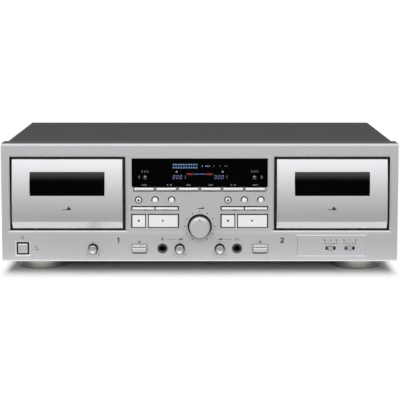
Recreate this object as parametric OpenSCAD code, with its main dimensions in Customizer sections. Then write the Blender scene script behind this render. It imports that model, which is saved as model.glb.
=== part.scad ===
// Double cassette deck with its casing, two doors, two tape transports and all controls.
// Millimetres. X runs to the right, Y from the front to the back, Z up from the table.
// Most places are given as x, z and a depth behind the face of the front panel.

/* [Casing] */
// Width of the front panel
panel_w = 435; // [432:1:450]
// Height of the front panel
panel_h = 130.5; // [129:0.5:140]
// Thickness of the silver front panel
panel_t = 3; // [2.8:0.1:3.4]
// Bevel along the panel's top and bottom edges
panel_bevel = 2; // [1:0.1:2.5]
// Depth from the panel's face to the outside of the rear wall
body_d = 261; // [235:1:300]
// Depth of the dark frame behind the panel
frame_d = 26; // [25:0.5:28]
// Wall of the dark frame all round
frame_wall = 2.5; // [2:0.1:3]
// Thickness of the frame's web, which carries the panel and the controls
web_t = 2.5; // [2:0.1:3]
// Sheet of the top cover and of the chassis
sheet_t = 1; // [0.8:0.1:1.4]
// How far the top cover lies inside the panel's outline at the sides
cover_inset = 1.7; // [1:0.1:2.5]
// How far the top cover lies below the panel's top edge
cover_drop = 0.8; // [0.5:0.1:1.5]
// Outer bend of the top cover
cover_bend = 3; // [2:0.5:5]
// Open joint between the frame and the top cover
cover_joint = 2; // [1.2:0.1:3]

/* [Feet] */
// Height of a foot
foot_h = 12.5; // [9:0.5:18]
// Radius of a foot at the chassis
foot_top_r = 29.5; // [22:0.5:30]
// Radius of a foot on the table
foot_low_r = 27.5; // [18:0.5:28]
// Distance of the feet from the ends of the panel
foot_end = 39.5; // [36:0.5:60]
// Distance of a foot from the panel's face and from the rear wall
foot_in = 47; // [45:1:65]

/* [Doors] */
// Width of a cassette door
door_w = 121; // [120:0.5:124]
// Height of a cassette door
door_h = 76.5; // [75.5:0.5:77]
// Distance from the middle of a door to the end of the panel
door_end = 72.5; // [71.5:0.5:74]
// Bottom edge of the doors above the bottom of the panel
door_z = 37.1; // [36:0.1:38]
// Gap beside a door
door_side_gap = 2.2; // [1.5:0.1:2.6]
// Gap above a door
door_top_gap = 1.7; // [1.2:0.1:2.5]
// Gap below a door
door_low_gap = 2; // [2:0.1:2.6]
// Bevel round the door wells
well_bevel = 2; // [1:0.1:2.2]
// How far a door's rounded front leans back towards its top
door_crown = 5.6; // [3:0.1:8]
// How far a door's top edge stands out of the panel
door_out = 1.2; // [0.8:0.1:2]
// Height of the sloping lip at a door's bottom
lip_h = 8.6; // [6:0.1:11]
// Skin of a door's cover
door_skin = 2.2; // [1.8:0.1:2.6]
// Width of a door's window
lens_w = 82; // [70:0.5:84]
// Height of a door's window
lens_h = 26; // [20:0.5:28]
// Bottom of the window above the bottom of the door
lens_z = 36.6; // [33:0.1:38]
// How far the window's sides bow outwards
lens_bow = 0.3; // [0.3:0.1:2]
// How far the window lies behind the door's front
lens_in = 0.8; // [0.4:0.1:1.4]
// Radius of the pins on which a door turns
hinge_r = 2; // [1.6:0.1:2.2]

/* [Tape transport] */
// Width of the pocket for a cassette
pocket_w = 103.2; // [102.8:0.1:104]
// Depth of the pocket for a cassette
pocket_d = 12.7; // [12.5:0.1:13.5]
// Bottom of the pocket above the bottom of the door
pocket_z = 8; // [7.5:0.1:9]
// Distance between the two reel spindles
reel_pitch = 42.5; // [42:0.1:43]
// Height of the reel spindles above a cassette's bottom edge
reel_z = 34.3; // [33:0.1:36]
// Radius of a reel table
reel_r = 9; // [8:0.1:10]
// Distance of the capstan from the middle of the cassette
capstan_x = 25.5; // [24:0.1:27]
// Radius of the capstan
capstan_r = 1; // [0.9:0.05:1.3]
// Radius of the pinch roller
roller_r = 5.5; // [5:0.1:6]
// Lift of the head bridge
head_lift = 5; // [4:0.1:5.5]
// Radius of the flywheel
flywheel_r = 24; // [21:0.5:25]
// Radius of the motor's pulley
pulley_r = 5; // [4:0.1:6]
// Radius of the motor's can
motor_r = 14; // [12:0.5:16]
// Length of the motor's can
motor_l = 21; // [18:0.5:24]

/* [Display] */
// Distance from the display window to the wells
display_side = 7.8; // [7.3:0.1:9]
// Height of the black display window
display_h = 31.4; // [30.5:0.1:32]
// Bottom of the display window above the bottom of the panel
display_z = 82.9; // [82.7:0.1:83.2]
// Distance of the counter buttons from the ends of the display window
counter_end = 14.5; // [10:0.5:17]
// Radius of a counter button
counter_r = 2.4; // [1.8:0.1:2.8]

/* [Keys] */
// Distance from the middle to the inner end of a key bank
bank_in = 23; // [21:0.1:24]
// Distance from the outer end of a key bank to the well
bank_side = 7.3; // [6.8:0.1:9]
// Space between the function keys
function_gap = 2.6; // [2.3:0.1:4]
// Height of a function key
function_h = 3.6; // [3:0.1:4]
// How much further apart than thirds of a bank the round buttons are
round_spread = 2.3; // [-2:0.1:4]
// Radius of a round button
round_r = 2.9; // [2.4:0.1:3.4]
// Height of the round buttons above the bottom of the panel
round_z = 68.5; // [67.5:0.1:69]
// Height of a wind key
wind_h = 3.4; // [2.8:0.1:3.8]
// Height of the wind keys above the bottom of the panel
wind_z = 58.9; // [58.6:0.1:59.4]
// Height of a stop or play key
play_h = 13.4; // [12.5:0.1:13.8]
// Width of a stop key
stop_w = 14.2; // [12:0.1:14.4]
// Height of the stop and play keys above the bottom of the panel
play_z = 45.1; // [44.6:0.1:45.2]
// Width of an eject button
eject_w = 15.2; // [13:0.1:16]
// Height of an eject button
eject_h = 8; // [7:0.1:9]
// Place of an eject button, as a share of the way from the middle to a well
eject_at = 0.808; // [0.79:0.002:0.82]
// Side of the power button
power_w = 10.5; // [9:0.1:11.5]
// Side of the recess round the power button
power_recess = 14; // [13.4:0.1:15]
// Distance of the power button from the end of the panel
power_end = 22.6; // [20:0.1:25]
// Height of the lower row of controls above the bottom of the panel
row_z = 14.5; // [14:0.1:15]

/* [Knobs and switches] */
// Radius of the recording level knob
level_r = 11.8; // [10.5:0.1:12.4]
// Open gap round the recording level knob
level_gap = 1.4; // [0.8:0.1:1.5]
// How far the recording level knob stands out
level_out = 14; // [11:0.5:18]
// Height of the recording level knob above the bottom of the panel
level_z = 39.4; // [38.8:0.1:40]
// Radius of the small knobs
small_r = 4.6; // [4:0.1:5]
// How far the small knobs stand out
small_out = 8; // [6:0.5:10]
// Place of a small level knob, as a share of the way from the middle to a well
small_at = 0.2673; // [0.26:0.002:0.28]
// Distance of the pitch knob from the middle of the door above it
pitch_in = 27.6; // [24:0.1:30]
// Width of the shallow recess for the slide switches
recess_w = 75.3; // [66:0.1:76]
// Height of the shallow recess
recess_h = 23.2; // [20:0.1:24]
// Depth of the shallow recess
recess_d = 0.8; // [0.4:0.1:1]
// Middle of the recess, measured from the middle of the door above it
recess_in = 0.2; // [-1:0.1:1]
// Middle of the recess above the bottom of the panel
recess_z = 17.4; // [16.5:0.1:18]
// Spacing of the two slide switches
switch_pitch = 21.1; // [20:0.1:22]
// Travel of a slide switch to each side
switch_travel = 2.5; // [2:0.1:2.8]

/* [Sockets] */
// Place of a front socket, as a share of the way from the middle to a well
jack_at = 0.4982; // [0.49:0.002:0.51]
// Radius of the bush of a front socket
jack_bush_r = 5.3; // [5:0.1:5.6]
// Radius of the bore of a front socket
jack_r = 3.2; // [3.18:0.01:3.3]
// Depth of the bore of a front socket
jack_l = 30; // [28:0.5:31]
// Radius of a phono socket's sleeve
phono_r = 4.15; // [4.1:0.05:4.2]
// How far the phono sockets stand out of the rear wall
phono_out = 10; // [9:0.5:12]
// Spacing of the phono sockets
phono_pitch = 14; // [13.5:0.5:18]
// Middle of the phono sockets, measured from the end of the panel
phono_end = 97.5; // [70:0.5:120]
// Middle of the mains inlet, measured from the end of the panel
inlet_end = 52.5; // [40:0.5:75]

/* [Fits] */
// Open gap round a key or knob in the panel
key_gap = 1; // [0.8:0.1:1.1]
// Gap between a moving piece and its guide
guide_gap = 0.3; // [0.2:0.05:0.35]
// Gap between a shaft and its bearing
shaft_gap = 0.05; // [0.03:0.01:0.08]
// Gap between fixed pieces that are let into each other
seat_gap = 0.15; // [0.1:0.05:0.25]
// Joint between two sections of the front panel
section_gap = 0.02; // [0.02:0.01:0.05]
// Travel of a push key
key_travel = 1.2; // [0.8:0.1:1.4]
// Travel of the eject and power buttons
button_travel = 3; // [2:0.1:3.2]

/* [Hidden] */
$fn = 48;
eps = 0.01;
face_y = level_out - (level_out + body_d + phono_out) / 2;
low_z = foot_h;
top_z = foot_h + panel_h;
web_d0 = panel_t;
web_d1 = panel_t + web_t;
frame_end = panel_t + frame_d;
sides = [-1, 1];
half_w = panel_w / 2;
foot_x = half_w - foot_end;
door_x = half_w - door_end;

// doors and wells
door_low = low_z + door_z;
well_w = door_w + 2 * door_side_gap;
well_h = door_h + door_top_gap + door_low_gap;
centre_half = door_x - well_w / 2;
well_mid = door_low - door_low_gap + well_h / 2;
front_h = door_h - lip_h;
crown_up = 8;
crown_rise = front_h - crown_up;
crown_r = crown_rise * crown_rise / (2 * door_crown) + door_crown / 2;
crown_z = door_low + lip_h + crown_up;
crown_d = -door_out - door_crown;
lip_d = crown_d + crown_r - sqrt(crown_r * crown_r - crown_up * crown_up);
cover_back = 1.5;
lip_foot_d = 0;
lens_mid = door_low + lens_z + lens_h / 2;
lens_t = 2;
lens_edge = 1.6;
lens_side_r = lens_h * lens_h / (8 * lens_bow) + lens_bow / 2;
holder_wall = 1.8;
holder_side = 3;
pocket_d0 = cover_back + holder_wall;
pocket_d1 = pocket_d0 + pocket_d;
pocket_low = door_low + pocket_z;
pocket_h = 58;
rear_lip_t = 1.5;
hinge_d = 5.5;
hinge_z = door_low + 5;
holder_half = pocket_w / 2 + holder_side;
eye_r = hinge_r + 1.4;
cheek_play = 0.5;
cheek_t = 3;
cheek_x = holder_half + cheek_play + cheek_t / 2;

// tape transport, from the front to the back
plate_d0 = pocket_d1 + 6;
plate_t = 2;
plate_d1 = plate_d0 + plate_t;
plate_half = well_w / 2 + 6;
plate_low = low_z + 30;
plate_top = top_z - 14;
post_r = 2.4;
post_x = well_w / 2 + 3.4;
post_zs = [well_mid - well_h / 2 - 2, well_mid + well_h / 2 - 4];
tip_d = pocket_d0 + 5;
spindle_z = pocket_low + reel_z;
spindle_r = 3.1;
spindle_wing = 4.4;
spindle_shaft_r = 1.5;
clip_r = 3;
clip_t = 1;
bridge_t = 1.5;
bridge_d0 = plate_d0 - guide_gap - bridge_t;
bridge_low = plate_low + 2;
bridge_w = 78;
guide_x = bridge_w / 2 - 6;
guide_z = bridge_low + 4;
guide_r = 2;
guide_head_r = 3.4;
guide_head_t = 1.2;
roller_z = pocket_low - roller_r - 0.7;
capstan_z = roller_z + head_lift + roller_r + capstan_r + guide_gap;
bridge_h = capstan_z - capstan_r - guide_gap - head_lift - bridge_low;
bearing_r = 4;
flywheel_d0 = plate_d1 + motor_l + 0.8;
flywheel_t = 5.5;
flywheel_d1 = flywheel_d0 + flywheel_t;
motor_x = -28;
motor_z = capstan_z + 3;
motor_shaft_r = 1;
motor_nose_r = 4;
motor_bore_d = 15;
belt_t = 0.8;
belt_w = 3;
belt_d0 = flywheel_d0 + (flywheel_t - belt_w) / 2;
pillar_r = 2.5;
pillar_reach = flywheel_r + belt_t + pillar_r + 1.4;
thrust_t = 1.2;
thrust_h = 12;

// controls
display_w = 2 * (centre_half - display_side);
display_mid = low_z + display_z + display_h / 2;
counter_x = display_w / 2 - counter_end;
counter_up = 10.6;
counter_z = low_z + display_z + counter_up;
tube_gap = 14;
tube_w = 2 * (counter_x - tube_gap);
tube_h = 20;
tube_t = 6;
tube_rim = 4;
tube_z = display_mid + 2;
function_z = low_z + display_z - seat_gap - key_gap / 2 - function_h / 2;
function_count = 6;
function_pitch = (display_w - function_gap) / function_count;
function_w = function_pitch - function_gap;
bank_w = centre_half - bank_side - bank_in;
bank_x = bank_in + bank_w / 2;
round_pitch = (bank_w + round_spread) / 3;
round_row = low_z + round_z;
wind_row = low_z + wind_z;
wind_w = (bank_w - 3 * key_gap) / 2;
play_row = low_z + play_z;
strip_w = 1.7;
play_w = bank_w - stop_w - strip_w - 4 * key_gap;
stop_x = key_gap + stop_w / 2 - bank_w / 2;
play_x = bank_w / 2 - key_gap - play_w / 2;
row = low_z + row_z;
small_x = small_at * centre_half;
jack_x = jack_at * centre_half;
eject_x = eject_at * centre_half;
pitch_x = door_x - pitch_in;
power_x = half_w - power_end;
recess_x = door_x - recess_in;
level_row = low_z + level_z;
round_out = 1.6;
counter_out = 0.9;
wind_out = 2;
wind_nose = -0.1;
play_out = 1.5;
play_bevel = 0.7;
eject_out = 4;
eject_nose = 0;
power_out = 0.4;
power_bevel = 0.8;
flange_t = 1.2;
flange_rim = 1.1;
flange_d0 = web_d1 + guide_gap;
flange_d1 = flange_d0 + flange_t;
board_t = 1.6;
board_d0 = plate_d0 - board_t - 0.4;
board_d1 = board_d0 + board_t;
board_half = door_x - plate_half - 2.3;
board_low = low_z + 4;
board_up = 114;
board_top = low_z + board_up;
switch_body_t = 4.2;
switch_body_w = 6;
switch_d0 = board_d0 - switch_body_t;
key_stem_d1 = switch_d0 - key_travel - guide_gap;
button_stem_d1 = switch_d0 - button_travel - guide_gap;
stem_r = 1.1;
knob_shaft_r = 3;
small_shaft_r = 2;
small_knob_gap = 0.7;
pot_t = 4;
pot_r = 8;
small_pot_r = 5.5;
shaft_end = board_d0 - pot_t - guide_gap;
side_board_h = 22;
side_board_in = pitch_x - 17.4;
side_board_out = power_x + 9.1;
side_board_up = 15;
side_board_z = low_z + side_board_up;
post_up = [69, 8];
post_in = [15, 10];
board_posts = [
    [post_in[0], low_z + post_up[0]], [post_in[1], low_z + post_up[1]],
    [pitch_x - 9.4, row], [power_x - 9.9, row]
];
switch_x0 = recess_x - 0.5;
slider_w = 5;
slider_h = 3.2;
slider_out = 2;
slide_body_w = 13;
slide_body_h = 7;
slide_body_t = 2.4;
slide_stem_w = 1.6;
slide_stem_d1 = board_d0 - slide_body_t - guide_gap;
slot_w = slider_w + 2 * switch_travel + 2 * guide_gap;
slot_h = slider_h + 2 * guide_gap;
slot_bevel = 0.6;
jack_body_w = 13;
jack_out = 0.6;
jack_lead = 1.2;
jack_lead_l = jack_out - 0.05;
jack_body_d1 = web_d1 + guide_gap + jack_l;

// casing
cover_w = panel_w - 2 * cover_inset;
cover_top = top_z - cover_drop;
cover_d0 = frame_end + cover_joint;
chassis_half = cover_w / 2 - sheet_t;
flange_up = 14;
front_up = row - jack_body_w / 2 - 2 - low_z;
rear_d0 = body_d - sheet_t;
vent_w = 3;
vent_l = 36;
vent_pitch = 9;
vent_count = 9;
vent_x = 90;
phono_x = half_w - phono_end;
phono_up = 62;
phono_z = low_z + phono_up;
phono_neck_r = phono_r + 1;
phono_collar = 1.2;
phono_hole_r = 1.6;
phono_block_d = 8;
inlet_x = half_w - inlet_end;
inlet_up = 36;
inlet_z = low_z + inlet_up;
inlet_w = 20;
inlet_h = 11;
inlet_flange = 2;
inlet_in = 12;
inlet_plate_w = 70;
inlet_plate_h = 56;

// Box centred on x and z between two depths
module slab(x, z, w, h, d0, d1) {
    translate([x - w / 2, face_y + d0, z - h / 2])
        cube([w, d1 - d0, h]);
}

// Round bar along the depth
module bar(x, z, r, d0, d1) {
    translate([x, face_y + d0, z])
        rotate([-90, 0, 0])
            cylinder(r = r, h = d1 - d0);
}

// Outline of depth and height, run along the width
module run(x, w) {
    translate([x - w / 2, face_y, 0])
        rotate([90, 0, 90])
            linear_extrude(w)
                children();
}

// Outline of width and height, run along the depth
module sheet(d0, d1) {
    translate([0, face_y + d1, 0])
        rotate([90, 0, 0])
            linear_extrude(d1 - d0)
                children();
}

// Turned piece along the depth, its outline drawn as radius and depth
module turned(x, z) {
    translate([x, face_y, z])
        rotate([-90, 0, 0])
            rotate_extrude()
                children();
}

// Opening that narrows from the face by a bevel
module bevelled_opening(x, z, w, h, bevel, d0 = 0, d1 = panel_t + 1) {
    slab(x, z, w, h, d0 - 1, d1);
    hull() {
        slab(x, z, w + 2 * bevel + 2 * eps, h + 2 * bevel + 2 * eps, d0 - eps, d0);
        slab(x, z, w, h, d0 + bevel, d0 + bevel + eps);
    }
}

// Places of the controls

function bank(n) = sides[n - 1] * bank_x;
function round_x(n, i) = bank(n) + (i - 1) * round_pitch;
function wind_x(n, i) = bank(n) + (i - 0.5) * (wind_w + key_gap);
function function_x(n) = (n - (function_count + 1) / 2) * function_pitch;
function switch_x(i) = switch_x0 + i * switch_pitch;
function door_at(n) = sides[n - 1] * door_x;
function key_places() = concat(
    [for (n = [1 : function_count]) [function_x(n), function_z]],
    [for (n = [1, 2]) for (i = [0 : 2]) [round_x(n, i), round_row]],
    [for (n = [1, 2]) for (i = [0, 1]) [wind_x(n, i), wind_row]],
    [for (n = [1, 2]) for (x = [stop_x, play_x]) [bank(n) + x, play_row]],
    [for (s = sides) [s * eject_x, row]],
    [for (s = sides) [s * counter_x, counter_z]]
);

// Openings for every key, each wider than its key by the margin on all sides
module key_openings(margin, d0, d1) {
    m = 2 * margin;
    for (n = [1 : function_count])
        slab(function_x(n), function_z, function_w + m, function_h + m, d0, d1);
    for (n = [1, 2]) {
        for (i = [0 : 2])
            bar(round_x(n, i), round_row, round_r + margin, d0, d1);
        for (i = [0, 1])
            slab(wind_x(n, i), wind_row, wind_w + m, wind_h + m, d0, d1);
        slab(bank(n) + stop_x, play_row, stop_w + m, play_h + m, d0, d1);
        slab(bank(n) + play_x, play_row, play_w + m, play_h + m, d0, d1);
        slab(sides[n - 1] * eject_x, row, eject_w + m, eject_h + m, d0, d1);
    }
}

// Casing

module front_panel() {
    color("gainsboro")
        difference() {
            run(0, panel_w)
                polygon([
                    [panel_bevel, low_z], [panel_t, low_z], [panel_t, top_z],
                    [panel_bevel, top_z], [0, top_z - panel_bevel], [0, low_z + panel_bevel]
                ]);
            for (n = [1, 2])
                bevelled_opening(door_at(n), well_mid, well_w, well_h, well_bevel);
            slab(0, display_mid, display_w + 2 * seat_gap, display_h + 2 * seat_gap, -1, panel_t + 1);
            key_openings(key_gap, -1, panel_t + 1);
            bevelled_opening(-power_x, row, power_recess, power_recess, (panel_t - eps) / 2);
            bar(0, level_row, level_r + level_gap, -1, panel_t + 1);
            for (x = [-pitch_x, -small_x, small_x])
                bar(x, row, small_r + small_knob_gap, -1, panel_t + 1);
            for (s = sides)
                bar(s * jack_x, row, jack_bush_r + seat_gap, -1, panel_t + 1);
            bevelled_opening(recess_x, low_z + recess_z, recess_w - 2 * recess_d, recess_h - 2 * recess_d, recess_d,
                d1 = recess_d);
            for (i = [0, 1])
                bevelled_opening(switch_x(i), row, slot_w, slot_h, slot_bevel, d0 = recess_d);
            for (n = [1, 2], s = sides)
                slab(door_at(n) + s * well_w / 2, low_z + panel_h / 2, section_gap, panel_h + 1, -1, panel_t + 1);
        }
}

module front_frame() {
    inner_w = panel_w - 2 * frame_wall;
    inner_h = panel_h - 2 * frame_wall;
    mid = low_z + panel_h / 2;
    web_half = inner_w / 2 - seat_gap;
    web_low = low_z + frame_wall + seat_gap;
    web_top = top_z - frame_wall - seat_gap;
    well_low = well_mid - well_h / 2;
    well_top = well_mid + well_h / 2;
    side_w = web_half - door_x - well_w / 2;
    color("dimgray")
        difference() {
            slab(0, mid, panel_w, panel_h, web_d0, frame_end);
            slab(0, mid, inner_w, inner_h, web_d0 - 1, frame_end + 1);
        }
    color("dimgray")
        difference() {
            union() {
                slab(0, (web_low + well_low) / 2, 2 * web_half, well_low - web_low, web_d0, web_d1);
                slab(0, (web_top + well_top) / 2, 2 * web_half, web_top - well_top, web_d0, web_d1);
                slab(0, well_mid, 2 * centre_half, well_h - 2 * seat_gap, web_d0, web_d1);
                for (s = sides)
                    slab(s * (web_half - side_w / 2), well_mid, side_w, well_h - 2 * seat_gap, web_d0, web_d1);
            }
            key_openings(guide_gap, web_d0 - 1, web_d1 + 1);
            slab(0, tube_z, tube_w - 2 * tube_rim, tube_h - tube_rim, web_d0 - 1, web_d1 + 1);
            for (s = sides) {
                bar(s * counter_x, counter_z, counter_r + guide_gap, web_d0 - 1, web_d1 + 1);
                bar(s * jack_x, row, jack_bush_r + seat_gap, web_d0 - 1, web_d1 + 1);
            }
            slab(-power_x, row, power_w + 2 * guide_gap, power_w + 2 * guide_gap, web_d0 - 1, web_d1 + 1);
            bar(0, level_row, knob_shaft_r + shaft_gap, web_d0 - 1, web_d1 + 1);
            for (x = [-pitch_x, -small_x, small_x])
                bar(x, row, small_shaft_r + shaft_gap, web_d0 - 1, web_d1 + 1);
            for (i = [0, 1])
                slab(switch_x(i), row, slot_w, slot_h, web_d0 - 1, web_d1 + 1);
        }
}

module display_window() {
    front = 0.3;
    color("black")
        difference() {
            slab(0, display_mid, display_w, display_h, front, panel_t);
            for (s = sides)
                bar(s * counter_x, counter_z, counter_r + guide_gap, front - 1, panel_t + 1);
        }
}

// Folded outline of the top cover, open below
module cover_outline(w, top, bend) {
    translate([-w / 2, low_z])
        square([w, top - low_z - bend]);
    translate([-w / 2 + bend, low_z])
        square([w - 2 * bend, top - low_z]);
    for (s = sides)
        translate([s * (w / 2 - bend), top - bend])
            circle(bend);
}

module top_cover() {
    color("dimgray")
        sheet(cover_d0, body_d)
            difference() {
                cover_outline(cover_w, cover_top, cover_bend);
                translate([0, -1])
                    cover_outline(cover_w - 2 * sheet_t, cover_top - sheet_t + 1, cover_bend - sheet_t);
            }
}

module chassis() {
    wall_top = cover_top - sheet_t;
    wall_low = low_z + sheet_t + seat_gap;
    color("lightgray")
        difference() {
            union() {
                slab(0, low_z + sheet_t / 2, 2 * chassis_half, sheet_t, frame_end, body_d);
                slab(0, low_z + front_up / 2, 2 * chassis_half, front_up, frame_end, frame_end + sheet_t);
                for (s = sides)
                    slab(s * (chassis_half - sheet_t / 2), low_z + flange_up / 2, sheet_t, flange_up,
                        frame_end, rear_d0 - seat_gap);
            }
            for (s = sides)
                for (i = [0 : vent_count - 1])
                    slab(s * vent_x + (i - (vent_count - 1) / 2) * vent_pitch, low_z, vent_w, 4 * sheet_t,
                        body_d / 2 - vent_l / 2, body_d / 2 + vent_l / 2);
        }
    color("lightgray")
        difference() {
            union() {
                slab(0, (wall_low + wall_top - cover_bend) / 2, 2 * chassis_half,
                    wall_top - cover_bend - wall_low, rear_d0, body_d);
                slab(0, (wall_low + wall_top) / 2, 2 * chassis_half - 2 * cover_bend, wall_top - wall_low,
                    rear_d0, body_d);
            }
            for (i = [0, 1])
                for (j = [0, 1])
                    bar(phono_x + (i - 0.5) * phono_pitch, phono_z + (j - 0.5) * phono_pitch,
                        phono_neck_r + seat_gap, rear_d0 - 1, body_d + 1);
            slab(-inlet_x, inlet_z, inlet_plate_w, inlet_plate_h, rear_d0 - 1, body_d + 1);
        }
    color("lightgray")
        difference() {
            slab(-inlet_x, inlet_z, inlet_plate_w - 2 * seat_gap, inlet_plate_h - 2 * seat_gap,
                rear_d0, body_d);
            slab(-inlet_x, inlet_z, inlet_w + 2 * seat_gap, inlet_h + 2 * seat_gap, rear_d0 - 1, body_d + 1);
        }
}

module feet() {
    round = 2;
    screw_r = 6;
    color("silver")
        for (s = sides)
            for (y = [face_y + foot_in, face_y + body_d - foot_in])
                translate([s * foot_x, y, 0])
                    rotate_extrude()
                        difference() {
                            union() {
                                polygon([
                                    [0, 0], [foot_low_r - round, 0], [foot_low_r, round],
                                    [foot_top_r, foot_h - round], [foot_top_r, foot_h], [0, foot_h]
                                ]);
                                translate([foot_low_r - round, round])
                                    circle(round);
                            }
                            square([screw_r, foot_h / 2]);
                        }
}

// Doors

// Front of a door, rounded from top to bottom, set back by the given depth
module crown_outline(back) {
    intersection() {
        translate([crown_d + back + crown_r, crown_z])
            circle(crown_r);
        translate([crown_d, door_low])
            square([cover_back - crown_d, door_h]);
    }
}

// Window opening with slightly rounded sides
module window_outline(grow) {
    w = lens_w + 2 * grow;
    h = lens_h + 2 * grow;
    intersection() {
        square([w, h], center = true);
        translate([lens_side_r - w / 2, 0])
            circle(lens_side_r);
        translate([w / 2 - lens_side_r, 0])
            circle(lens_side_r);
    }
}

module door_cover(n) {
    lip_top = door_low + lip_h;
    color("gainsboro")
        translate([door_at(n), 0, 0])
            difference() {
                run(0, door_w)
                    difference() {
                        union() {
                            crown_outline(0);
                            polygon([
                                [lip_d, lip_top], [lip_foot_d, door_low],
                                [cover_back, door_low], [cover_back, lip_top]
                            ]);
                        }
                        translate([crown_d - 1, door_low - 1])
                            polygon([
                                [0, 0], [lip_foot_d - crown_d + 1, 1],
                                [1 - crown_d + lip_d, 1 + lip_h], [0, 1 + lip_h]
                            ]);
                    }
                run(0, door_w - 2 * door_skin)
                    intersection() {
                        crown_outline(door_skin);
                        translate([crown_d, lip_top])
                            square([cover_back - crown_d + 1, front_h - door_skin]);
                    }
                sheet(crown_d - 1, cover_back + 1)
                    translate([0, lens_mid])
                        window_outline(0);
            }
}

module door_lens(n) {
    color("black")
        translate([door_at(n), 0, 0])
            intersection() {
                sheet(crown_d, cover_back)
                    translate([0, lens_mid])
                        window_outline(-seat_gap);
                run(0, lens_w)
                    difference() {
                        crown_outline(lens_in);
                        crown_outline(lens_in + lens_t);
                    }
            }
}

module cassette_holder(n) {
    wall_low = door_low + 1.8;
    wall_h = door_h - 4.5;
    lens_back_w = lens_w + 2 * lens_edge;
    lip_w = 7;
    lip_short = 20;
    arm_d = 6;
    ledge_w = 13;
    ledge_t = 1.5;
    color("dimgray")
        translate([door_at(n), 0, 0]) {
            difference() {
                slab(0, wall_low + wall_h / 2, 2 * holder_half, wall_h, cover_back, pocket_d0);
                slab(0, lens_mid, lens_back_w, lens_h + 2 * lens_edge, cover_back - 1, pocket_d0 + 1);
            }
            for (s = sides) {
                run(s * (holder_half - holder_side / 2), holder_side)
                    union() {
                        translate([pocket_d0 - eps, pocket_low])
                            square([pocket_d1 + rear_lip_t - pocket_d0, pocket_h]);
                        translate([pocket_d0 - eps, hinge_z])
                            square([arm_d, pocket_low - hinge_z + eps]);
                        translate([hinge_d, hinge_z])
                            circle(hinge_d - pocket_d0 + eps);
                    }
                slab(s * (pocket_w / 2 - lip_w / 2), pocket_low + pocket_h / 2 + 2, lip_w + 2 * eps,
                    pocket_h - lip_short, pocket_d1, pocket_d1 + rear_lip_t);
                slab(s * (pocket_w / 2 - ledge_w / 2), pocket_low - ledge_t / 2, ledge_w + 2 * eps, ledge_t,
                    pocket_d0 - eps, pocket_d1);
                translate([s * holder_half - (s > 0 ? eps : cheek_t + 2 * cheek_play - eps),
                    face_y + hinge_d, hinge_z])
                    rotate([0, 90, 0])
                        cylinder(r = hinge_r, h = cheek_t + 2 * cheek_play);
            }
        }
}

// Tape transports

// Bracket whose eye carries one pin of a door
module hinge_cheek(x) {
    cheek_root = 10;
    cheek_end = plate_d0 - seat_gap;
    difference() {
        run(x, cheek_t)
            union() {
                translate([hinge_d, hinge_z - eye_r])
                    square([cheek_end - hinge_d, 2 * eye_r]);
                translate([cheek_end - cheek_root, bridge_low])
                    square([cheek_root, hinge_z - bridge_low]);
                translate([hinge_d, hinge_z])
                    circle(eye_r);
            }
        translate([x - cheek_t, face_y + hinge_d, hinge_z])
            rotate([0, 90, 0])
                cylinder(r = hinge_r + shaft_gap, h = 2 * cheek_t);
    }
}

// Rivet on which a slot of the head bridge slides
module guide_rivet(x) {
    bar(x, guide_z, guide_r, bridge_d0 - guide_gap - eps, plate_d0 - seat_gap);
    bar(x, guide_z, guide_head_r, bridge_d0 - guide_gap - guide_head_t, bridge_d0 - guide_gap);
}

module transport_plate(n) {
    x0 = door_at(n);
    difference() {
        slab(x0, (plate_low + plate_top) / 2, 2 * plate_half, plate_top - plate_low, plate_d0, plate_d1);
        for (s = sides)
            bar(x0 + s * reel_pitch / 2, spindle_z, spindle_shaft_r + shaft_gap, plate_d0 - 1, plate_d1 + 1);
        bar(x0 + capstan_x, capstan_z, capstan_r + shaft_gap, plate_d0 - 1, plate_d1 + 1);
        bar(x0 + motor_x, motor_z, motor_nose_r, plate_d0 - 1, plate_d1 + 1);
    }
    for (s = sides) {
        hinge_cheek(x0 + s * cheek_x);
        guide_rivet(x0 + s * guide_x);
        for (z = post_zs)
            bar(x0 + s * post_x, z, post_r, web_d1 + seat_gap, plate_d0 - seat_gap);
    }
}

module transport_plates() {
    color("slategray")
        for (n = [1, 2])
            transport_plate(n);
}

// Bearing of the capstan behind the plate, and the bracket that takes the flywheel's thrust
module flywheel_bracket(x) {
    strip_d0 = flywheel_d1 + guide_gap;
    difference() {
        bar(x, capstan_z, bearing_r, plate_d1 + seat_gap, flywheel_d0 - guide_gap);
        bar(x, capstan_z, capstan_r + shaft_gap, plate_d1, flywheel_d0);
    }
    for (s = sides)
        bar(x + s * pillar_reach, capstan_z, pillar_r, plate_d1 + seat_gap, strip_d0 + eps);
    slab(x, capstan_z, 2 * pillar_reach + 2 * pillar_r, thrust_h, strip_d0, strip_d0 + thrust_t);
}

module drive_motors() {
    nose = 0.6;
    color("silver")
        for (n = [1, 2]) {
            difference() {
                union() {
                    bar(door_at(n) + motor_x, motor_z, motor_r, plate_d1, plate_d1 + motor_l - nose);
                    bar(door_at(n) + motor_x, motor_z, motor_nose_r, plate_d1, plate_d1 + motor_l);
                }
                bar(door_at(n) + motor_x, motor_z, motor_shaft_r + shaft_gap,
                    plate_d1 + motor_l - motor_bore_d, plate_d1 + motor_l + 1);
            }
            flywheel_bracket(door_at(n) + capstan_x);
        }
}

// Outline of a belt round the flywheel and the pulley, at a distance from both
module belt_outline(gap) {
    hull() {
        translate([capstan_x, capstan_z])
            circle(flywheel_r + gap);
        translate([motor_x, motor_z])
            circle(pulley_r + gap);
    }
}

module drive_belts() {
    color("black")
        for (n = [1, 2])
            translate([door_at(n), 0, 0])
                sheet(belt_d0, belt_d0 + belt_w)
                    difference() {
                        belt_outline(guide_gap + belt_t);
                        belt_outline(guide_gap);
                    }
}

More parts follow.
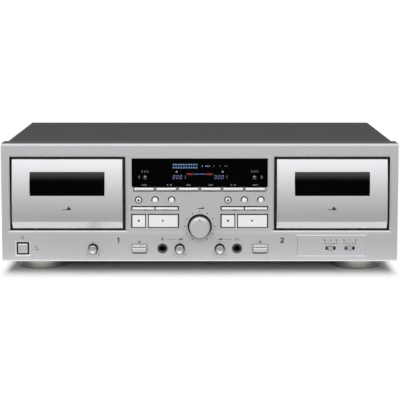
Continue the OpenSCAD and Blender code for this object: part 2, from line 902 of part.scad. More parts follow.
module spindle(n, s) {
    x = door_at(n) + s * reel_pitch / 2;
    table_d1 = plate_d0 - guide_gap;
    table_d0 = table_d1 - 3;
    color("whitesmoke") {
        turned(x, spindle_z)
            polygon([
                [0, tip_d], [spindle_r - 1.6, tip_d], [spindle_r, tip_d + 2], [spindle_r, table_d0],
                [reel_r, table_d0], [reel_r, table_d1], [spindle_shaft_r, table_d1],
                [spindle_shaft_r, plate_d1 + guide_gap], [clip_r, plate_d1 + guide_gap],
                [clip_r, plate_d1 + guide_gap + clip_t], [0, plate_d1 + guide_gap + clip_t]
            ]);
        for (turn = [0, 120, 240])
            translate([x, face_y, spindle_z])
                rotate([0, turn, 0])
                    translate([0, tip_d + 3, -0.7])
                        cube([spindle_wing, table_d0 - tip_d - 3 + eps, 1.4]);
    }
}

module capstan_flywheel(n) {
    color("goldenrod")
        turned(door_at(n) + capstan_x, capstan_z)
            polygon([
                [0, tip_d], [capstan_r, tip_d], [capstan_r, flywheel_d0], [6, flywheel_d0],
                [6, flywheel_d0 + 1.2], [flywheel_r - 5, flywheel_d0 + 1.2], [flywheel_r - 5, flywheel_d0],
                [flywheel_r, flywheel_d0], [flywheel_r, flywheel_d1 - 0.6], [2, flywheel_d1 - 0.6],
                [2, flywheel_d1], [0, flywheel_d1]
            ]);
}

module motor_pulley(n) {
    rim = 0.8;
    shaft_d0 = plate_d1 + motor_l - motor_bore_d + 1;
    color("goldenrod")
        turned(door_at(n) + motor_x, motor_z)
            polygon([
                [0, shaft_d0], [motor_shaft_r, shaft_d0], [motor_shaft_r, belt_d0 - rim],
                [pulley_r, belt_d0 - rim], [pulley_r, belt_d0 + belt_w + rim],
                [0, belt_d0 + belt_w + rim]
            ]);
}

module head_bridge(n) {
    x0 = door_at(n);
    head_top = pocket_low - 1;
    head_d0 = pocket_d0 + 3.4;
    head_w = 13;
    head_crown_r = 40;
    erase_x = 15;
    erase_w = 8;
    color("lightgray") {
        difference() {
            slab(x0, bridge_low + bridge_h / 2, bridge_w, bridge_h, bridge_d0, bridge_d0 + bridge_t);
            for (s = sides)
                slab(x0 + s * guide_x, guide_z - head_lift / 2, 2 * guide_r + 2 * guide_gap,
                    2 * guide_r + 2 * guide_gap + head_lift, bridge_d0 - 1, bridge_d0 + bridge_t + 1);
        }
        run(x0, head_w)
            intersection() {
                translate([head_d0, bridge_low + 1])
                    square([bridge_d0 - head_d0 + eps, head_top - bridge_low - 1]);
                translate([(head_d0 + bridge_d0) / 2, head_top - head_crown_r])
                    circle(head_crown_r);
            }
        slab(x0 - erase_x, (bridge_low + head_top) / 2 - 1, erase_w, head_top - bridge_low - 2,
            head_d0 + 2, bridge_d0 + eps);
        bar(x0 + capstan_x, roller_z, 1.2, head_d0 + 1, bridge_d0 + eps);
        bar(x0 + capstan_x, roller_z, roller_r, head_d0 + 1.6, bridge_d0 - 2.5);
    }
}

// Keys

// Rim behind the web that keeps a rectangular key in, with the stem to its switch
module key_back(x, z, w, h, stem_d1) {
    slab(x, z, w, h + 2 * flange_rim, flange_d0, flange_d1);
    bar(x, z, stem_r, flange_d1 - eps, stem_d1);
}

// Key whose front is drawn as depth and height
module bar_key(x, z, w, h, out, nose, stem_d1) {
    color("white") {
        run(x, w)
            polygon([
                [flange_d1, z + h / 2], [-0.4 * out, z + h / 2], [-out, z + nose * h],
                [-0.5 * out, z - h / 2], [flange_d1, z - h / 2]
            ]);
        key_back(x, z, w, h, stem_d1);
    }
}

// Key with a flat front and bevelled edges
module flat_key(x, z, w, h, out, bevel, stem_d1) {
    color("white") {
        hull() {
            slab(x, z, w - 2 * bevel, h - 2 * bevel, -out, flange_d1);
            slab(x, z, w, h, bevel - out, flange_d1);
        }
        key_back(x, z, w, h, stem_d1);
    }
}

// Round button with a domed front
module round_key(x, z, r, out) {
    dome = 3 * r;
    color("whitesmoke")
        turned(x, z)
            union() {
                intersection() {
                    translate([0, -out])
                        square([r, flange_d1 + out]);
                    translate([0, dome - out])
                        circle(dome);
                }
                translate([0, flange_d0])
                    square([r + flange_rim, flange_t]);
                translate([0, flange_d1 - eps])
                    square([stem_r, key_stem_d1 - flange_d1 + eps]);
            }
}

module bank_round_key(n, i) {
    round_key(round_x(n, i), round_row, round_r, round_out);
}

module counter_key(n) {
    round_key(sides[n - 1] * counter_x, counter_z, counter_r, counter_out);
}

module wind_key(n, i) {
    bar_key(wind_x(n, i), wind_row, wind_w, wind_h, wind_out, wind_nose, key_stem_d1);
}

module function_key(n) {
    bar_key(function_x(n), function_z, function_w, function_h, wind_out, wind_nose, key_stem_d1);
}

module stop_key(n) {
    flat_key(bank(n) + stop_x, play_row, stop_w, play_h, play_out, play_bevel, key_stem_d1);
}

module play_key(n) {
    flat_key(bank(n) + play_x, play_row, play_w, play_h, play_out, play_bevel, key_stem_d1);
}

module eject_key(n) {
    bar_key(sides[n - 1] * eject_x, row, eject_w, eject_h, eject_out, eject_nose, button_stem_d1);
}

module power_key() {
    flat_key(-power_x, row, power_w, power_w, power_out, power_bevel, button_stem_d1);
}

// Knobs and switches

// Knob on its shaft, with a pointer notch at the top of its face
module knob(x, z, r, out, shaft_r) {
    edge = r / 9;
    skirt = web_d0 - guide_gap;
    color("gainsboro")
        difference() {
            turned(x, z)
                polygon([
                    [0, -out], [0.93 * r - edge, -out], [0.93 * r, edge - out], [r, skirt - 1],
                    [r, skirt], [shaft_r, skirt], [shaft_r, shaft_end], [0, shaft_end]
                ]);
            slab(x, z + 0.8 * r, r / 9, 0.4 * r, -out - 1, 0.5 - out);
        }
}

module slide_switch(i) {
    x = switch_x(i);
    color("dimgray") {
        slab(x, row, slider_w, slider_h, -slider_out + recess_d, flange_d0 + eps);
        slab(x, row, slider_w + 2, slider_h + 2 * flange_rim, flange_d0, flange_d1);
        slab(x, row, slide_stem_w, slide_stem_w, flange_d1 - eps, slide_stem_d1);
    }
}

// Sockets

module front_sockets() {
    color("black")
        for (s = sides)
            difference() {
                union() {
                    bar(s * jack_x, row, jack_bush_r, -jack_out, web_d1 + guide_gap + eps);
                    slab(s * jack_x, row, jack_body_w, jack_body_w, web_d1 + guide_gap, jack_body_d1 + 2);
                }
                bar(s * jack_x, row, jack_r, -jack_out - 1, jack_body_d1);
                turned(s * jack_x, row)
                    polygon([
                        [0, -jack_out - 1], [jack_r + jack_lead, -jack_out - 1], [jack_r + jack_lead, -jack_out],
                        [jack_r, jack_lead_l - jack_out], [0, jack_lead_l - jack_out]
                    ]);
            }
}

module rear_connectors() {
    block = 2 * phono_pitch + 4;
    pin_r = 1.2;
    pin_x = 4.3;
    recess_r = 4.1;
    recess_d0 = body_d - inlet_in + 2;
    mouth = body_d + inlet_flange + 1;
    color("black") {
        difference() {
            union() {
                slab(phono_x, phono_z, block, block, rear_d0 - phono_block_d, rear_d0);
                for (i = [0, 1])
                    for (j = [0, 1]) {
                        bar(phono_x + (i - 0.5) * phono_pitch, phono_z + (j - 0.5) * phono_pitch,
                            phono_neck_r, rear_d0 - eps, body_d + phono_collar);
                        bar(phono_x + (i - 0.5) * phono_pitch, phono_z + (j - 0.5) * phono_pitch,
                            phono_r, body_d, body_d + phono_out);
                    }
            }
            for (i = [0, 1])
                for (j = [0, 1])
                    bar(phono_x + (i - 0.5) * phono_pitch, phono_z + (j - 0.5) * phono_pitch,
                        phono_hole_r, body_d + 2, body_d + phono_out + 1);
        }
        difference() {
            union() {
                slab(-inlet_x, inlet_z, inlet_w, inlet_h, body_d - inlet_in, body_d + eps);
                slab(-inlet_x, inlet_z, inlet_w + 14, inlet_h + 5, body_d, body_d + inlet_flange);
            }
            for (s = sides)
                bar(-inlet_x + s * pin_x, inlet_z, recess_r, recess_d0, mouth);
            slab(-inlet_x, inlet_z, 2 * pin_x, 2 * recess_r - 1.4, recess_d0, mouth);
        }
        for (s = sides)
            bar(-inlet_x + s * pin_x, inlet_z, pin_r, recess_d0 + seat_gap, body_d - 1);
    }
}

// Boards and transformer

module control_board() {
    difference() {
        union() {
            slab(0, (board_low + board_top) / 2, 2 * board_half, board_top - board_low, board_d0, board_d1);
            bar(0, level_row, pot_r, board_d0 - pot_t, board_d0 + eps);
            for (s = sides)
                bar(s * small_x, row, small_pot_r, board_d0 - pot_t, board_d0 + eps);
            slab(0, tube_z, tube_w, tube_h, web_d1 + guide_gap, web_d1 + guide_gap + tube_t);
            for (s = sides)
                slab(s * (tube_w / 2 - tube_rim), tube_z, tube_rim, tube_h - tube_rim,
                    web_d1 + tube_t, board_d0 + eps);
            for (at = key_places())
                slab(at[0], at[1], switch_body_w, switch_body_w, switch_d0, board_d0 + eps);
        }
        for (s = sides)
            slab(s * jack_x, row, jack_body_w + 2 * seat_gap, jack_body_w + 2 * seat_gap,
                board_d0 - 1, board_d1 + 1);
    }
}

module circuit_boards() {
    power_body_l = 22;
    main_in = 42.5;
    power_room = 162.5;
    main_w = panel_w - power_room - main_in;
    main_l = 110;
    main_x = half_w - main_in - main_w / 2;
    main_z = low_z + sheet_t + 7;
    main_d = body_d / 2 + 30;
    main_y = face_y + main_d;
    main_post_r = 3;
    main_post_x = main_w / 2 - 6;
    main_post_y = main_l / 2 - 6;
    capacitor_count = 4;
    capacitor_in = 70;
    capacitor_y = main_y + 30;
    capacitor_pitch = 26;
    capacitor_r = 8;
    capacitor_h = 25;
    color("darkgreen") {
        control_board();
        for (s = sides) {
            slab(s * (side_board_in + side_board_out) / 2, side_board_z, side_board_out - side_board_in,
                side_board_h, board_d0, board_d1);
            for (at = board_posts)
                bar(s * at[0], at[1], post_r, web_d1 + seat_gap, board_d0 + eps);
        }
        bar(-pitch_x, row, small_pot_r, board_d0 - pot_t, board_d0 + eps);
        slab(-power_x, row, power_w, power_w, switch_d0, board_d0 + eps);
        slab(-power_x, row, power_w, power_w, board_d1 - eps, board_d1 + power_body_l);
        for (i = [0, 1])
            slab(switch_x(i), row, slide_body_w, slide_body_h, board_d0 - slide_body_t, board_d0 + eps);
        slab(main_x, main_z + board_t / 2, main_w, board_t, main_d - main_l / 2, main_d + main_l / 2);
        for (sx = sides)
            for (sy = sides)
                translate([main_x + sx * main_post_x, main_y + sy * main_post_y, low_z + sheet_t])
                    cylinder(r = main_post_r, h = main_z - low_z - sheet_t + eps);
        for (i = [0 : capacitor_count - 1])
            translate([main_x - capacitor_in + capacitor_pitch * i, capacitor_y, main_z + board_t - eps])
                cylinder(r = capacitor_r, h = capacitor_h);
    }
}

module power_transformer() {
    core_w = 66;
    core_l = 32;
    core_h = 56;
    coil_l = 54;
    coil_w = 44;
    coil_h = 36;
    foot_w = 90;
    foot_t = 2;
    side_gap = 82.5;
    rear_gap = 75;
    x = -(half_w - side_gap);
    d = body_d - rear_gap;
    base = low_z + sheet_t;
    color("saddlebrown") {
        slab(x, base + core_h / 2, core_w, core_h, d - core_l / 2, d + core_l / 2);
        slab(x, base + core_h / 2, coil_w, coil_h, d - coil_l / 2, d + coil_l / 2);
        slab(x, base + foot_t / 2, foot_w, foot_t, d - core_l / 2, d + core_l / 2);
    }
}

front_panel();
front_frame();
display_window();
top_cover();
chassis();
feet();
front_sockets();
rear_connectors();
circuit_boards();
power_transformer();
transport_plates();
drive_motors();
drive_belts();
for (n = [1, 2]) {
    door_cover(n);
    door_lens(n);
    cassette_holder(n);
    spindle(n, -1);
    spindle(n, 1);
    capstan_flywheel(n);
    motor_pulley(n);
    head_bridge(n);
    bank_round_key(n, 0);
    bank_round_key(n, 1);
    bank_round_key(n, 2);
    wind_key(n, 0);
    wind_key(n, 1);
    stop_key(n);
    play_key(n);
    eject_key(n);
    counter_key(n);
}
for (n = [1 : function_count])
    function_key(n);
power_key();  // power_button
knob(0, level_row, level_r, level_out, knob_shaft_r);  // rec_level_knob
knob(-small_x, row, small_r, small_out, small_shaft_r);  // mic_level_knob
knob(small_x, row, small_r, small_out, small_shaft_r);  // phones_level_knob
knob(-pitch_x, row, small_r, small_out, small_shaft_r);  // pitch_knob
slide_switch(0);  // timer_switch
slide_switch(1);  // noise_switch
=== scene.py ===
"""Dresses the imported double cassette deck: finishes, soft edges, printed marks, lit display, screws and studio."""

from __future__ import annotations

import logging
import math
from dataclasses import dataclass, field, replace
from enum import Enum
from typing import Any, Sequence, Union

import bmesh
import bpy
from mathutils import Matrix, Vector
from mathutils.bvhtree import BVHTree


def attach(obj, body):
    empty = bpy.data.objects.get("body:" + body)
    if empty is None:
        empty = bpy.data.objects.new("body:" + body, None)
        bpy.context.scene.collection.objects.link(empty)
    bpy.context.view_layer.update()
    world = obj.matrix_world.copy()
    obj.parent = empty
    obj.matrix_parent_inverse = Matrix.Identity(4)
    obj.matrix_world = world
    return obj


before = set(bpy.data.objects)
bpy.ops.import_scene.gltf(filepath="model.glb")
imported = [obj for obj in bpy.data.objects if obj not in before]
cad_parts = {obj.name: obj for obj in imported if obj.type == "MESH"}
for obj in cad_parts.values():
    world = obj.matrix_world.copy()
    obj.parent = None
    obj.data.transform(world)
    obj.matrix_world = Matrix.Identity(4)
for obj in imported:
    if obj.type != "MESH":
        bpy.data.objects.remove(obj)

Point = tuple[float, float]
Place = tuple[float, float, float]
Block = tuple[float, float, float, float]
Colour = tuple[float, float, float]
Outline = list[Point]
Value = Union["Wire", float]
Inputs = dict[Union[str, int], Any]
Corners = Sequence[bmesh.types.BMVert]

LOG = logging.getLogger("deck")
MM = 0.001
SIDES = (-1, 1)

# Places that several sub-assemblies share, in millimetres.
FACE = -128.5
REAR_FACE = 132.5
LOW_ROW = 27.0
LEVEL_Z = 51.9
ROUND_Z = 81.0
ROUND_PITCH = 18.1
BANK_X = 49.0
EJECT_X = 66.5
SWITCH_XS = (144.3, 165.4)
SMALL_KNOBS = {"mic_level_knob": -22.0, "phones_level_knob": 22.0, "pitch_knob": -117.4}


class Wire:
    """One output of a node, for use in Python expressions."""

    def __init__(self, graph: "Graph", socket: bpy.types.NodeSocket) -> None:
        """Keeps the socket and the graph that it is in."""
        self.graph = graph
        self.socket = socket

    def _math(self, operation: str, left: Value, right: Value) -> "Wire":
        """Adds one Math node.

        Args:
            operation: The Math node's operation.
            left: The first value.
            right: The second value.

        Returns:
            The node's result.
        """
        return self.graph.result("ShaderNodeMath", {"operation": operation}, {0: left, 1: right})

    def __add__(self, other: Value) -> "Wire":
        """Sum of two values."""
        return self._math("ADD", self, other)

    def __radd__(self, other: Value) -> "Wire":
        """Sum of two values."""
        return self._math("ADD", other, self)

    def __sub__(self, other: Value) -> "Wire":
        """Difference of two values."""
        return self._math("SUBTRACT", self, other)

    def __rsub__(self, other: Value) -> "Wire":
        """Difference of two values."""
        return self._math("SUBTRACT", other, self)

    def __mul__(self, other: Value) -> "Wire":
        """Product of two values."""
        return self._math("MULTIPLY", self, other)

    def __rmul__(self, other: Value) -> "Wire":
        """Product of two values."""
        return self._math("MULTIPLY", other, self)

    def __pow__(self, other: Value) -> "Wire":
        """One value to the power of another."""
        return self._math("POWER", self, other)

    def larger(self, other: Value) -> "Wire":
        """The larger of two values."""
        return self._math("MAXIMUM", self, other)

    def above(self, other: Value) -> "Wire":
        """1 where the value is above another, and 0 elsewhere."""
        return self._math("GREATER_THAN", self, other)

    def below(self, other: Value) -> "Wire":
        """1 where the value is below another, and 0 elsewhere."""
        return self._math("LESS_THAN", self, other)

    def size(self) -> "Wire":
        """The value without its sign."""
        return self._math("ABSOLUTE", self, 0.0)

    def step(self, low: float, high: float) -> "Wire":
        """Smooth step from 0 at low to 1 at high.

        Args:
            low: The value that gives 0.
            high: The value that gives 1.

        Returns:
            The stepped value.
        """
        return self.graph.result(
            "ShaderNodeMapRange",
            {"interpolation_type": "SMOOTHSTEP"},
            {"Value": self, "From Min": low, "From Max": high},
        )


class Graph:
    """Node tree of a material, of the world or of a geometry group."""

    def __init__(self, tree: bpy.types.NodeTree) -> None:
        """Empties the tree."""
        self.tree = tree
        tree.nodes.clear()

    def node(self, kind: str, settings: dict[str, Any] | None = None, inputs: Inputs | None = None) -> bpy.types.Node:
        """Makes one node.

        Args:
            kind: The node's type.
            settings: Properties of the node, set first.
            inputs: Values or wires by the input's name or number.

        Returns:
            The node.
        """
        made = self.tree.nodes.new(kind)
        for key, value in (settings or {}).items():
            setattr(made, key, value)
        for key, value in (inputs or {}).items():
            if isinstance(value, Wire):
                self.tree.links.new(value.socket, made.inputs[key])
            else:
                made.inputs[key].default_value = value
        return made

    def wire(self, node: bpy.types.Node, output: Union[str, int] = 0) -> Wire:
        """One of a node's outputs."""
        return Wire(self, node.outputs[output])

    def result(self, kind: str, settings: dict[str, Any] | None = None, inputs: Inputs | None = None) -> Wire:
        """The first output of a new node."""
        return self.wire(self.node(kind, settings, inputs))

    def split(self, vector: Wire) -> tuple[Wire, Wire, Wire]:
        """A vector's x, y and z."""
        parts = self.node("ShaderNodeSeparateXYZ", None, {0: vector})
        return self.wire(parts, 0), self.wire(parts, 1), self.wire(parts, 2)

    def place(self) -> Wire:
        """Place on the part, in metres in the shared frame."""
        return self.wire(self.node("ShaderNodeTexCoord"), "Object")

    def axes(self) -> tuple[Wire, Wire, Wire]:
        """The place's x, y and z in millimetres."""
        inputs = {0: self.place(), "Scale": 1 / MM}
        return self.split(self.result("ShaderNodeVectorMath", {"operation": "SCALE"}, inputs))

    def noise(self, stretch: Place, detail: float = 2.0) -> Wire:
        """Noise with its own fineness along each axis.

        Args:
            stretch: Waves per metre along x, y and z.
            detail: Octaves of the noise.

        Returns:
            Noise from 0 to 1.
        """
        mapped = self.result("ShaderNodeMapping", None, {"Vector": self.place(), "Scale": stretch})
        return self.result("ShaderNodeTexNoise", None, {"Vector": mapped, "Scale": 1.0, "Detail": detail})

    def mix(self, factor: Value, low: Any, high: Any) -> Wire:
        """Blends two colours.

        Args:
            factor: 0 gives the first and 1 the second.
            low: The first colour.
            high: The second colour.

        Returns:
            The blended colour.
        """
        inputs = {0: factor, 6: opaque(low), 7: opaque(high)}
        return self.wire(self.node("ShaderNodeMix", {"data_type": "RGBA"}, inputs), 2)

    def blend(self, factor: Value, low: Wire, high: Wire) -> Wire:
        """Mixes two shaders."""
        return self.result("ShaderNodeMixShader", None, {0: factor, 1: low, 2: high})

    def white(self, strength: float, kind: str = "ShaderNodeEmission") -> Wire:
        """A plain white light."""
        return self.result(kind, None, {"Color": (1, 1, 1, 1), "Strength": strength})

    def ray(self, kind: str) -> Wire:
        """1 where the arriving ray is of the given kind."""
        return self.wire(self.node("ShaderNodeLightPath"), f"Is {kind} Ray")

    def end(self, shader: Wire, kind: str = "ShaderNodeOutputMaterial") -> None:
        """Ends the graph in its output."""
        self.node(kind, None, {"Surface": shader})


def opaque(colour: Any) -> Any:
    """Gives a plain colour its alpha, and leaves a wire as it is."""
    return colour if isinstance(colour, Wire) else (*colour, 1.0)


def blank(name: str) -> tuple[bpy.types.Material, Graph]:
    """Makes a material with an empty graph.

    Args:
        name: The material's name.

    Returns:
        The material and its graph.
    """
    made = bpy.data.materials.new(name)
    made.use_nodes = True
    return made, Graph(made.node_tree)


def span(middle: float, half: float) -> Point:
    """The two ends of a width about a middle."""
    return middle - half, middle + half


class Grain(Enum):
    """Kinds of fine structure that a finish can have."""

    BRUSHED = "hairlines along the width"
    FLAKE = "metal flake under lacquer"
    PEBBLE = "fine moulded or sprayed pebble"
    GLOSS = "polish with faint smears"
    SPANGLE = "crystals of plated sheet"
    TURNED = "hairlines round an axis"
    LATHED = "level tool lines round a foot"


# Each noise grain's waves per metre, its octaves and its share beside the clouds.
NOISES: dict[Grain, tuple[Place, float, float]] = {
    Grain.BRUSHED: ((35, 3000, 3000), 2, 0.7),
    Grain.FLAKE: ((3800, 3800, 3800), 1, 0.6),
    Grain.LATHED: ((25, 25, 4200), 2, 0.7),
    Grain.GLOSS: ((60, 60, 24), 4, 0.5),
    Grain.PEBBLE: ((1900, 1900, 1900), 2, 0.65),
}
CLOUDS = ((14, 14, 14), 3)
SPANGLES_PER_METRE = 160.0
RINGS_PER_MM = 3.0
CELL_SHARE = 0.6
COAT_ROUGH = 0.08

BLACK_TONE = (0.008, 0.008, 0.008)
SLOT_TONE = (0.12, 0.12, 0.12)
# Pale tone of painted highlights on the panel's bevels and strips.
HIGHLIGHT_TONE = (0.80, 0.80, 0.81)
# Painted light: greys for the web behind keys, which make their gaps look less dark.
GAP_LIGHT_TONE = (0.55, 0.55, 0.56)
DIM_GAP_LIGHT_TONE = (0.50, 0.50, 0.51)
RED_TONE = (0.16, 0.035, 0.05)
NICKEL_TONE = (0.72, 0.70, 0.66)


@dataclass(frozen=True)
class Patch:
    """A region of a finish with another colour, inside a box of the shared frame. Most patches paint shade or light
    into gaps, walls and bevels; some are the part's own colour.
    """

    x: Point
    y: Point
    z: Point
    colour: Colour = BLACK_TONE
    rough: float = 0.6
    metal: float = 0.0
    soft: float = 0.1

    def mask(self, graph: Graph) -> Wire:
        """Adds the nodes that are 1 inside the box.

        Args:
            graph: The material's graph.

        Returns:
            The mask.
        """
        inside: Value = 1.0
        for axis, (low, high) in zip(graph.axes(), (self.x, self.y, self.z)):
            inside = axis.step(*span(low, self.soft)) * inside
            inside = inside * (1 - axis.step(*span(high, self.soft)))
        return inside


@dataclass(frozen=True)
class Finish:
    """One surface finish, built from procedural nodes."""

    name: str
    colour: Colour
    rough: float
    metal: float = 0.0
    grain: Grain = Grain.PEBBLE
    spread: float = 0.06
    rough_spread: float = 0.06
    relief: float = 0.004
    specular: float = 0.5
    coat: float = 0.0
    hub: Point = (0.0, 0.0)
    patches: tuple[Patch, ...] = ()
    glow: float = 0.0
    alpha: float = 1.0

    def spangle(self, graph: Graph) -> Wire:
        """Crystals, each with a tone of its own."""
        cells = graph.node("ShaderNodeTexVoronoi", None, {"Vector": graph.place(), "Scale": SPANGLES_PER_METRE})
        return graph.result("ShaderNodeSeparateColor", None, {0: graph.wire(cells, "Color")})

    def rings(self, graph: Graph) -> Wire:
        """Hairlines round the hub.

        Args:
            graph: The material's graph.

        Returns:
            The hairlines, from 0 to 1.
        """
        x, _, z = graph.axes()
        radius = ((x - self.hub[0]) ** 2.0 + (z - self.hub[1]) ** 2.0) ** 0.5
        inputs = {"W": radius, "Scale": RINGS_PER_MM, "Detail": 2.0}
        return graph.result("ShaderNodeTexNoise", {"noise_dimensions": "1D"}, inputs)

    def pattern(self, graph: Graph) -> Wire:
        """Adds the nodes of the finish's grain.

        Args:
            graph: The material's graph.

        Returns:
            The grain, from 0 to 1.
        """
        clouds = graph.noise(*CLOUDS)
        share = CELL_SHARE
        if self.grain is Grain.SPANGLE:
            fine = self.spangle(graph)
        elif self.grain is Grain.TURNED:
            fine = self.rings(graph)
        else:
            stretch, detail, share = NOISES[self.grain]
            fine = graph.noise(stretch, detail)
        return fine * share + clouds * (1 - share)

    def material(self) -> bpy.types.Material:
        """The finish's material, made once.

        Returns:
            The material.
        """
        kept = bpy.data.materials.get("finish_" + self.name)
        if kept:
            return kept
        made, graph = blank("finish_" + self.name)
        made.diffuse_color = (*self.colour, 1.0)
        grain = self.pattern(graph)
        dark: Colour = tuple(c * (1 - self.spread) for c in self.colour)
        light: Colour = tuple(min(c * (1 + self.spread), 1.0) for c in self.colour)
        colour = graph.mix(grain, dark, light)
        rough: Value = (grain - 0.5) * (2 * self.rough_spread) + self.rough
        metal: Value = self.metal
        for patch in self.patches:
            mask = patch.mask(graph)
            colour = graph.mix(mask, colour, patch.colour)
            rough = rough * (1 - mask) + mask * patch.rough
            metal = (1 - mask) * metal + mask * patch.metal
        bump = {"Strength": 1.0, "Distance": self.relief * MM, "Height": grain}
        inputs: Inputs = {
            "Base Color": colour,
            "Roughness": rough,
            "Metallic": metal,
            "Specular IOR Level": self.specular,
            "Coat Weight": self.coat,
            "Coat Roughness": COAT_ROUGH,
            "Normal": graph.result("ShaderNodeBump", None, bump),
            "Alpha": self.alpha,
        }
        if self.glow:
            inputs |= {"Emission Color": colour, "Emission Strength": self.glow}
        graph.end(graph.result("ShaderNodeBsdfPrincipled", None, inputs))
        return made


def printed(name: str, colour: Colour, rough: float = 0.55) -> Finish:
    """A printed colour."""
    return Finish(name, colour, rough, 0.0, Grain.PEBBLE, 0.1, 0.05, 0.001)


def lit(name: str, colour: Colour, spread: float = 0.12, glow: float = 0.9) -> Finish:
    """A lit segment's colour."""
    return Finish(name, colour, 0.5, 0.0, Grain.FLAKE, spread, 0.05, 0.001, glow=glow)


# Widths and depths of the patches, in millimetres.
ACROSS = (-300.0, 300.0)
WELLS_ACROSS = (-212.0, 212.0)
KEYS_ACROSS = (-80.0, 80.0)
WEB_ACROSS = (-76.0, 76.0)
WEB_SKIN = (-125.6, -124.9)
HOLE_SIDES = (-128.4, -125.0)
PIN_XS = (-169.3, -160.7)
PHONO_XS = (113.0, 127.0)
PHONO_ZS = ((81.5, (0.75, 0.75, 0.73)), (67.5, (0.42, 0.02, 0.02)))
PHONOS = tuple((x, z, tone) for x in PHONO_XS for z, tone in PHONO_ZS)
RECORD_XS = tuple(side * BANK_X - ROUND_PITCH for side in SIDES)
EJECT_XS = tuple(side * EJECT_X for side in SIDES)

# Frame's web behind the panel: the black is painted shade that darkens the gaps round the keys and wells, the greys
# behind the function, winding, round and eject keys are painted light that lightens their gaps, the red behind the
# record buttons is their ring's colour, and the dark grey behind the switches is their slots' colour.
WEBS = (
    Patch((-214.4, 214.4), (-125.6, -123.2), (15.6, 139.9)),
    Patch(WEB_ACROSS, WEB_SKIN, (88, 98), GAP_LIGHT_TONE),
    Patch(WEB_ACROSS, WEB_SKIN, (68.2, 69.9), DIM_GAP_LIGHT_TONE),
    Patch((-73, 73), WEB_SKIN, (76.5, 79.6), DIM_GAP_LIGHT_TONE),
    *(Patch(span(x, 4.5), WEB_SKIN, (76.5, 82), RED_TONE) for x in RECORD_XS),
    *(Patch(span(x, 11.5), WEB_SKIN, (20, 34), GAP_LIGHT_TONE) for x in EJECT_XS),
    *(Patch(span(x, 8), (-125.6, -122), (23, 31), SLOT_TONE) for x in SWITCH_XS),
)
# Painted shade and light in the door wells: black in the gaps and on the inner walls is painted shade, the grey on the
# bevel is painted light, and the pale band on the lower bevel is a painted highlight.
WELLS = (
    Patch(WELLS_ACROSS, (-128.35, -127.3), (43, 131), (0.62, 0.62, 0.63), 0.5),
    Patch(WELLS_ACROSS, (-128.35, -126.4), (43, 48)),
    Patch(WELLS_ACROSS, (-128.45, -126.4), (43, 46.9), HIGHLIGHT_TONE, 0.5),
    Patch(WELLS_ACROSS, (-127.3, -125), (47.7, 131)),
    Patch(WELLS_ACROSS, (-126.4, -125), (43, 131)),
)
# Painted shade: black on the walls of the panel's holes darkens the gaps round the keys and knobs. The record buttons'
# hole walls are red, the colour of their rings.
HOLES = (
    Patch(KEYS_ACROSS, HOLE_SIDES, (49.8, 66)),
    Patch((-16, 16), HOLE_SIDES, (36, 68)),
    Patch(KEYS_ACROSS, (-128.3, -125), (70.6, 76)),
    Patch(KEYS_ACROSS, HOLE_SIDES, (80.2, 87)),
    *(Patch(span(x, 4.9), HOLE_SIDES, (76, 82.5), RED_TONE, 0.5) for x in RECORD_XS),
    *(Patch(span(x, 6.2), HOLE_SIDES, (26, 34)) for x in SMALL_KNOBS.values()),
)
# Painted highlight: a pale strip between each stop and play key.
KEY_STRIP_HIGHLIGHTS = tuple(Patch(span(side * BANK_X - 8.95, 0.75), (-129, -128), (50.2, 65), HIGHLIGHT_TONE, 0.4) for side in SIDES)
# Painted highlight: the bevel round the power key is pale.
POWER_BEVEL_HIGHLIGHT = Patch((-204.5, -185.3), (-128.35, -126.9), (17.4, 36.6), HIGHLIGHT_TONE, 0.5)
# Painted highlight: the panel's bottom bevel is a brighter, smoother copy of its metal.
LOW_EDGE_HIGHLIGHT = Patch(ACROSS, (-128.4, -126.2), (12, 14.45), (0.93, 0.93, 0.94), 0.16, 1.0)
# Painted highlight: a pale line along the top bevel of the switches' recess.
RECESS_TOP_HIGHLIGHT = Patch((106, 183.5), (-128.6, -127.2), (41.2, 42.2), (0.86, 0.86, 0.86), 0.5)
# Painted shadow: a black line on the panel just below each eject key.
EJECT_SHADOW_LINES = tuple(Patch(span(x, 7.4), (-129, -125), (21.3, 22.5)) for x in EJECT_XS)
# Painted reflection: the doors' lower lip is a brighter, warmer copy of their metal, in place of the floor that it
# reflects.
DOOR_LIP_REFLECTION = Patch(ACROSS, (-140, -120), (48, 58.1), (0.94, 0.925, 0.89), 0.48, 1.0)
# Painted shade: the doors' sides inside the wells are black.
DOOR_EDGE_SHADE = Patch(ACROSS, (-127.6, -100), (40, 130))
SKIRT = Patch(ACROSS, (-134.5, -60), (0, 200))
SMALL_SKIRT = Patch(ACROSS, (-135.6, -60), (0, 200))
SOCKETS = (
    *(Patch(span(x, 6), (132.4, 133.8), span(z, 6), tone, 0.4) for x, z, tone in PHONOS),
    *(Patch(span(x, 6), (133.8, 143), span(z, 6), NICKEL_TONE, 0.28, 1.0) for x, z, _ in PHONOS),
    *(Patch(span(x, 1.4), (123, 131.6), (47, 50), NICKEL_TONE, 0.28, 1.0) for x in PIN_XS),
)
# The panel's and doors' patches are painted shade and painted light, apart from the red of the record buttons' rings.
PANEL_PATCHES = (*WELLS, *HOLES, *KEY_STRIP_HIGHLIGHTS, POWER_BEVEL_HIGHLIGHT, LOW_EDGE_HIGHLIGHT, RECESS_TOP_HIGHLIGHT, *EJECT_SHADOW_LINES)
DOOR_PATCHES = (DOOR_LIP_REFLECTION, DOOR_EDGE_SHADE)

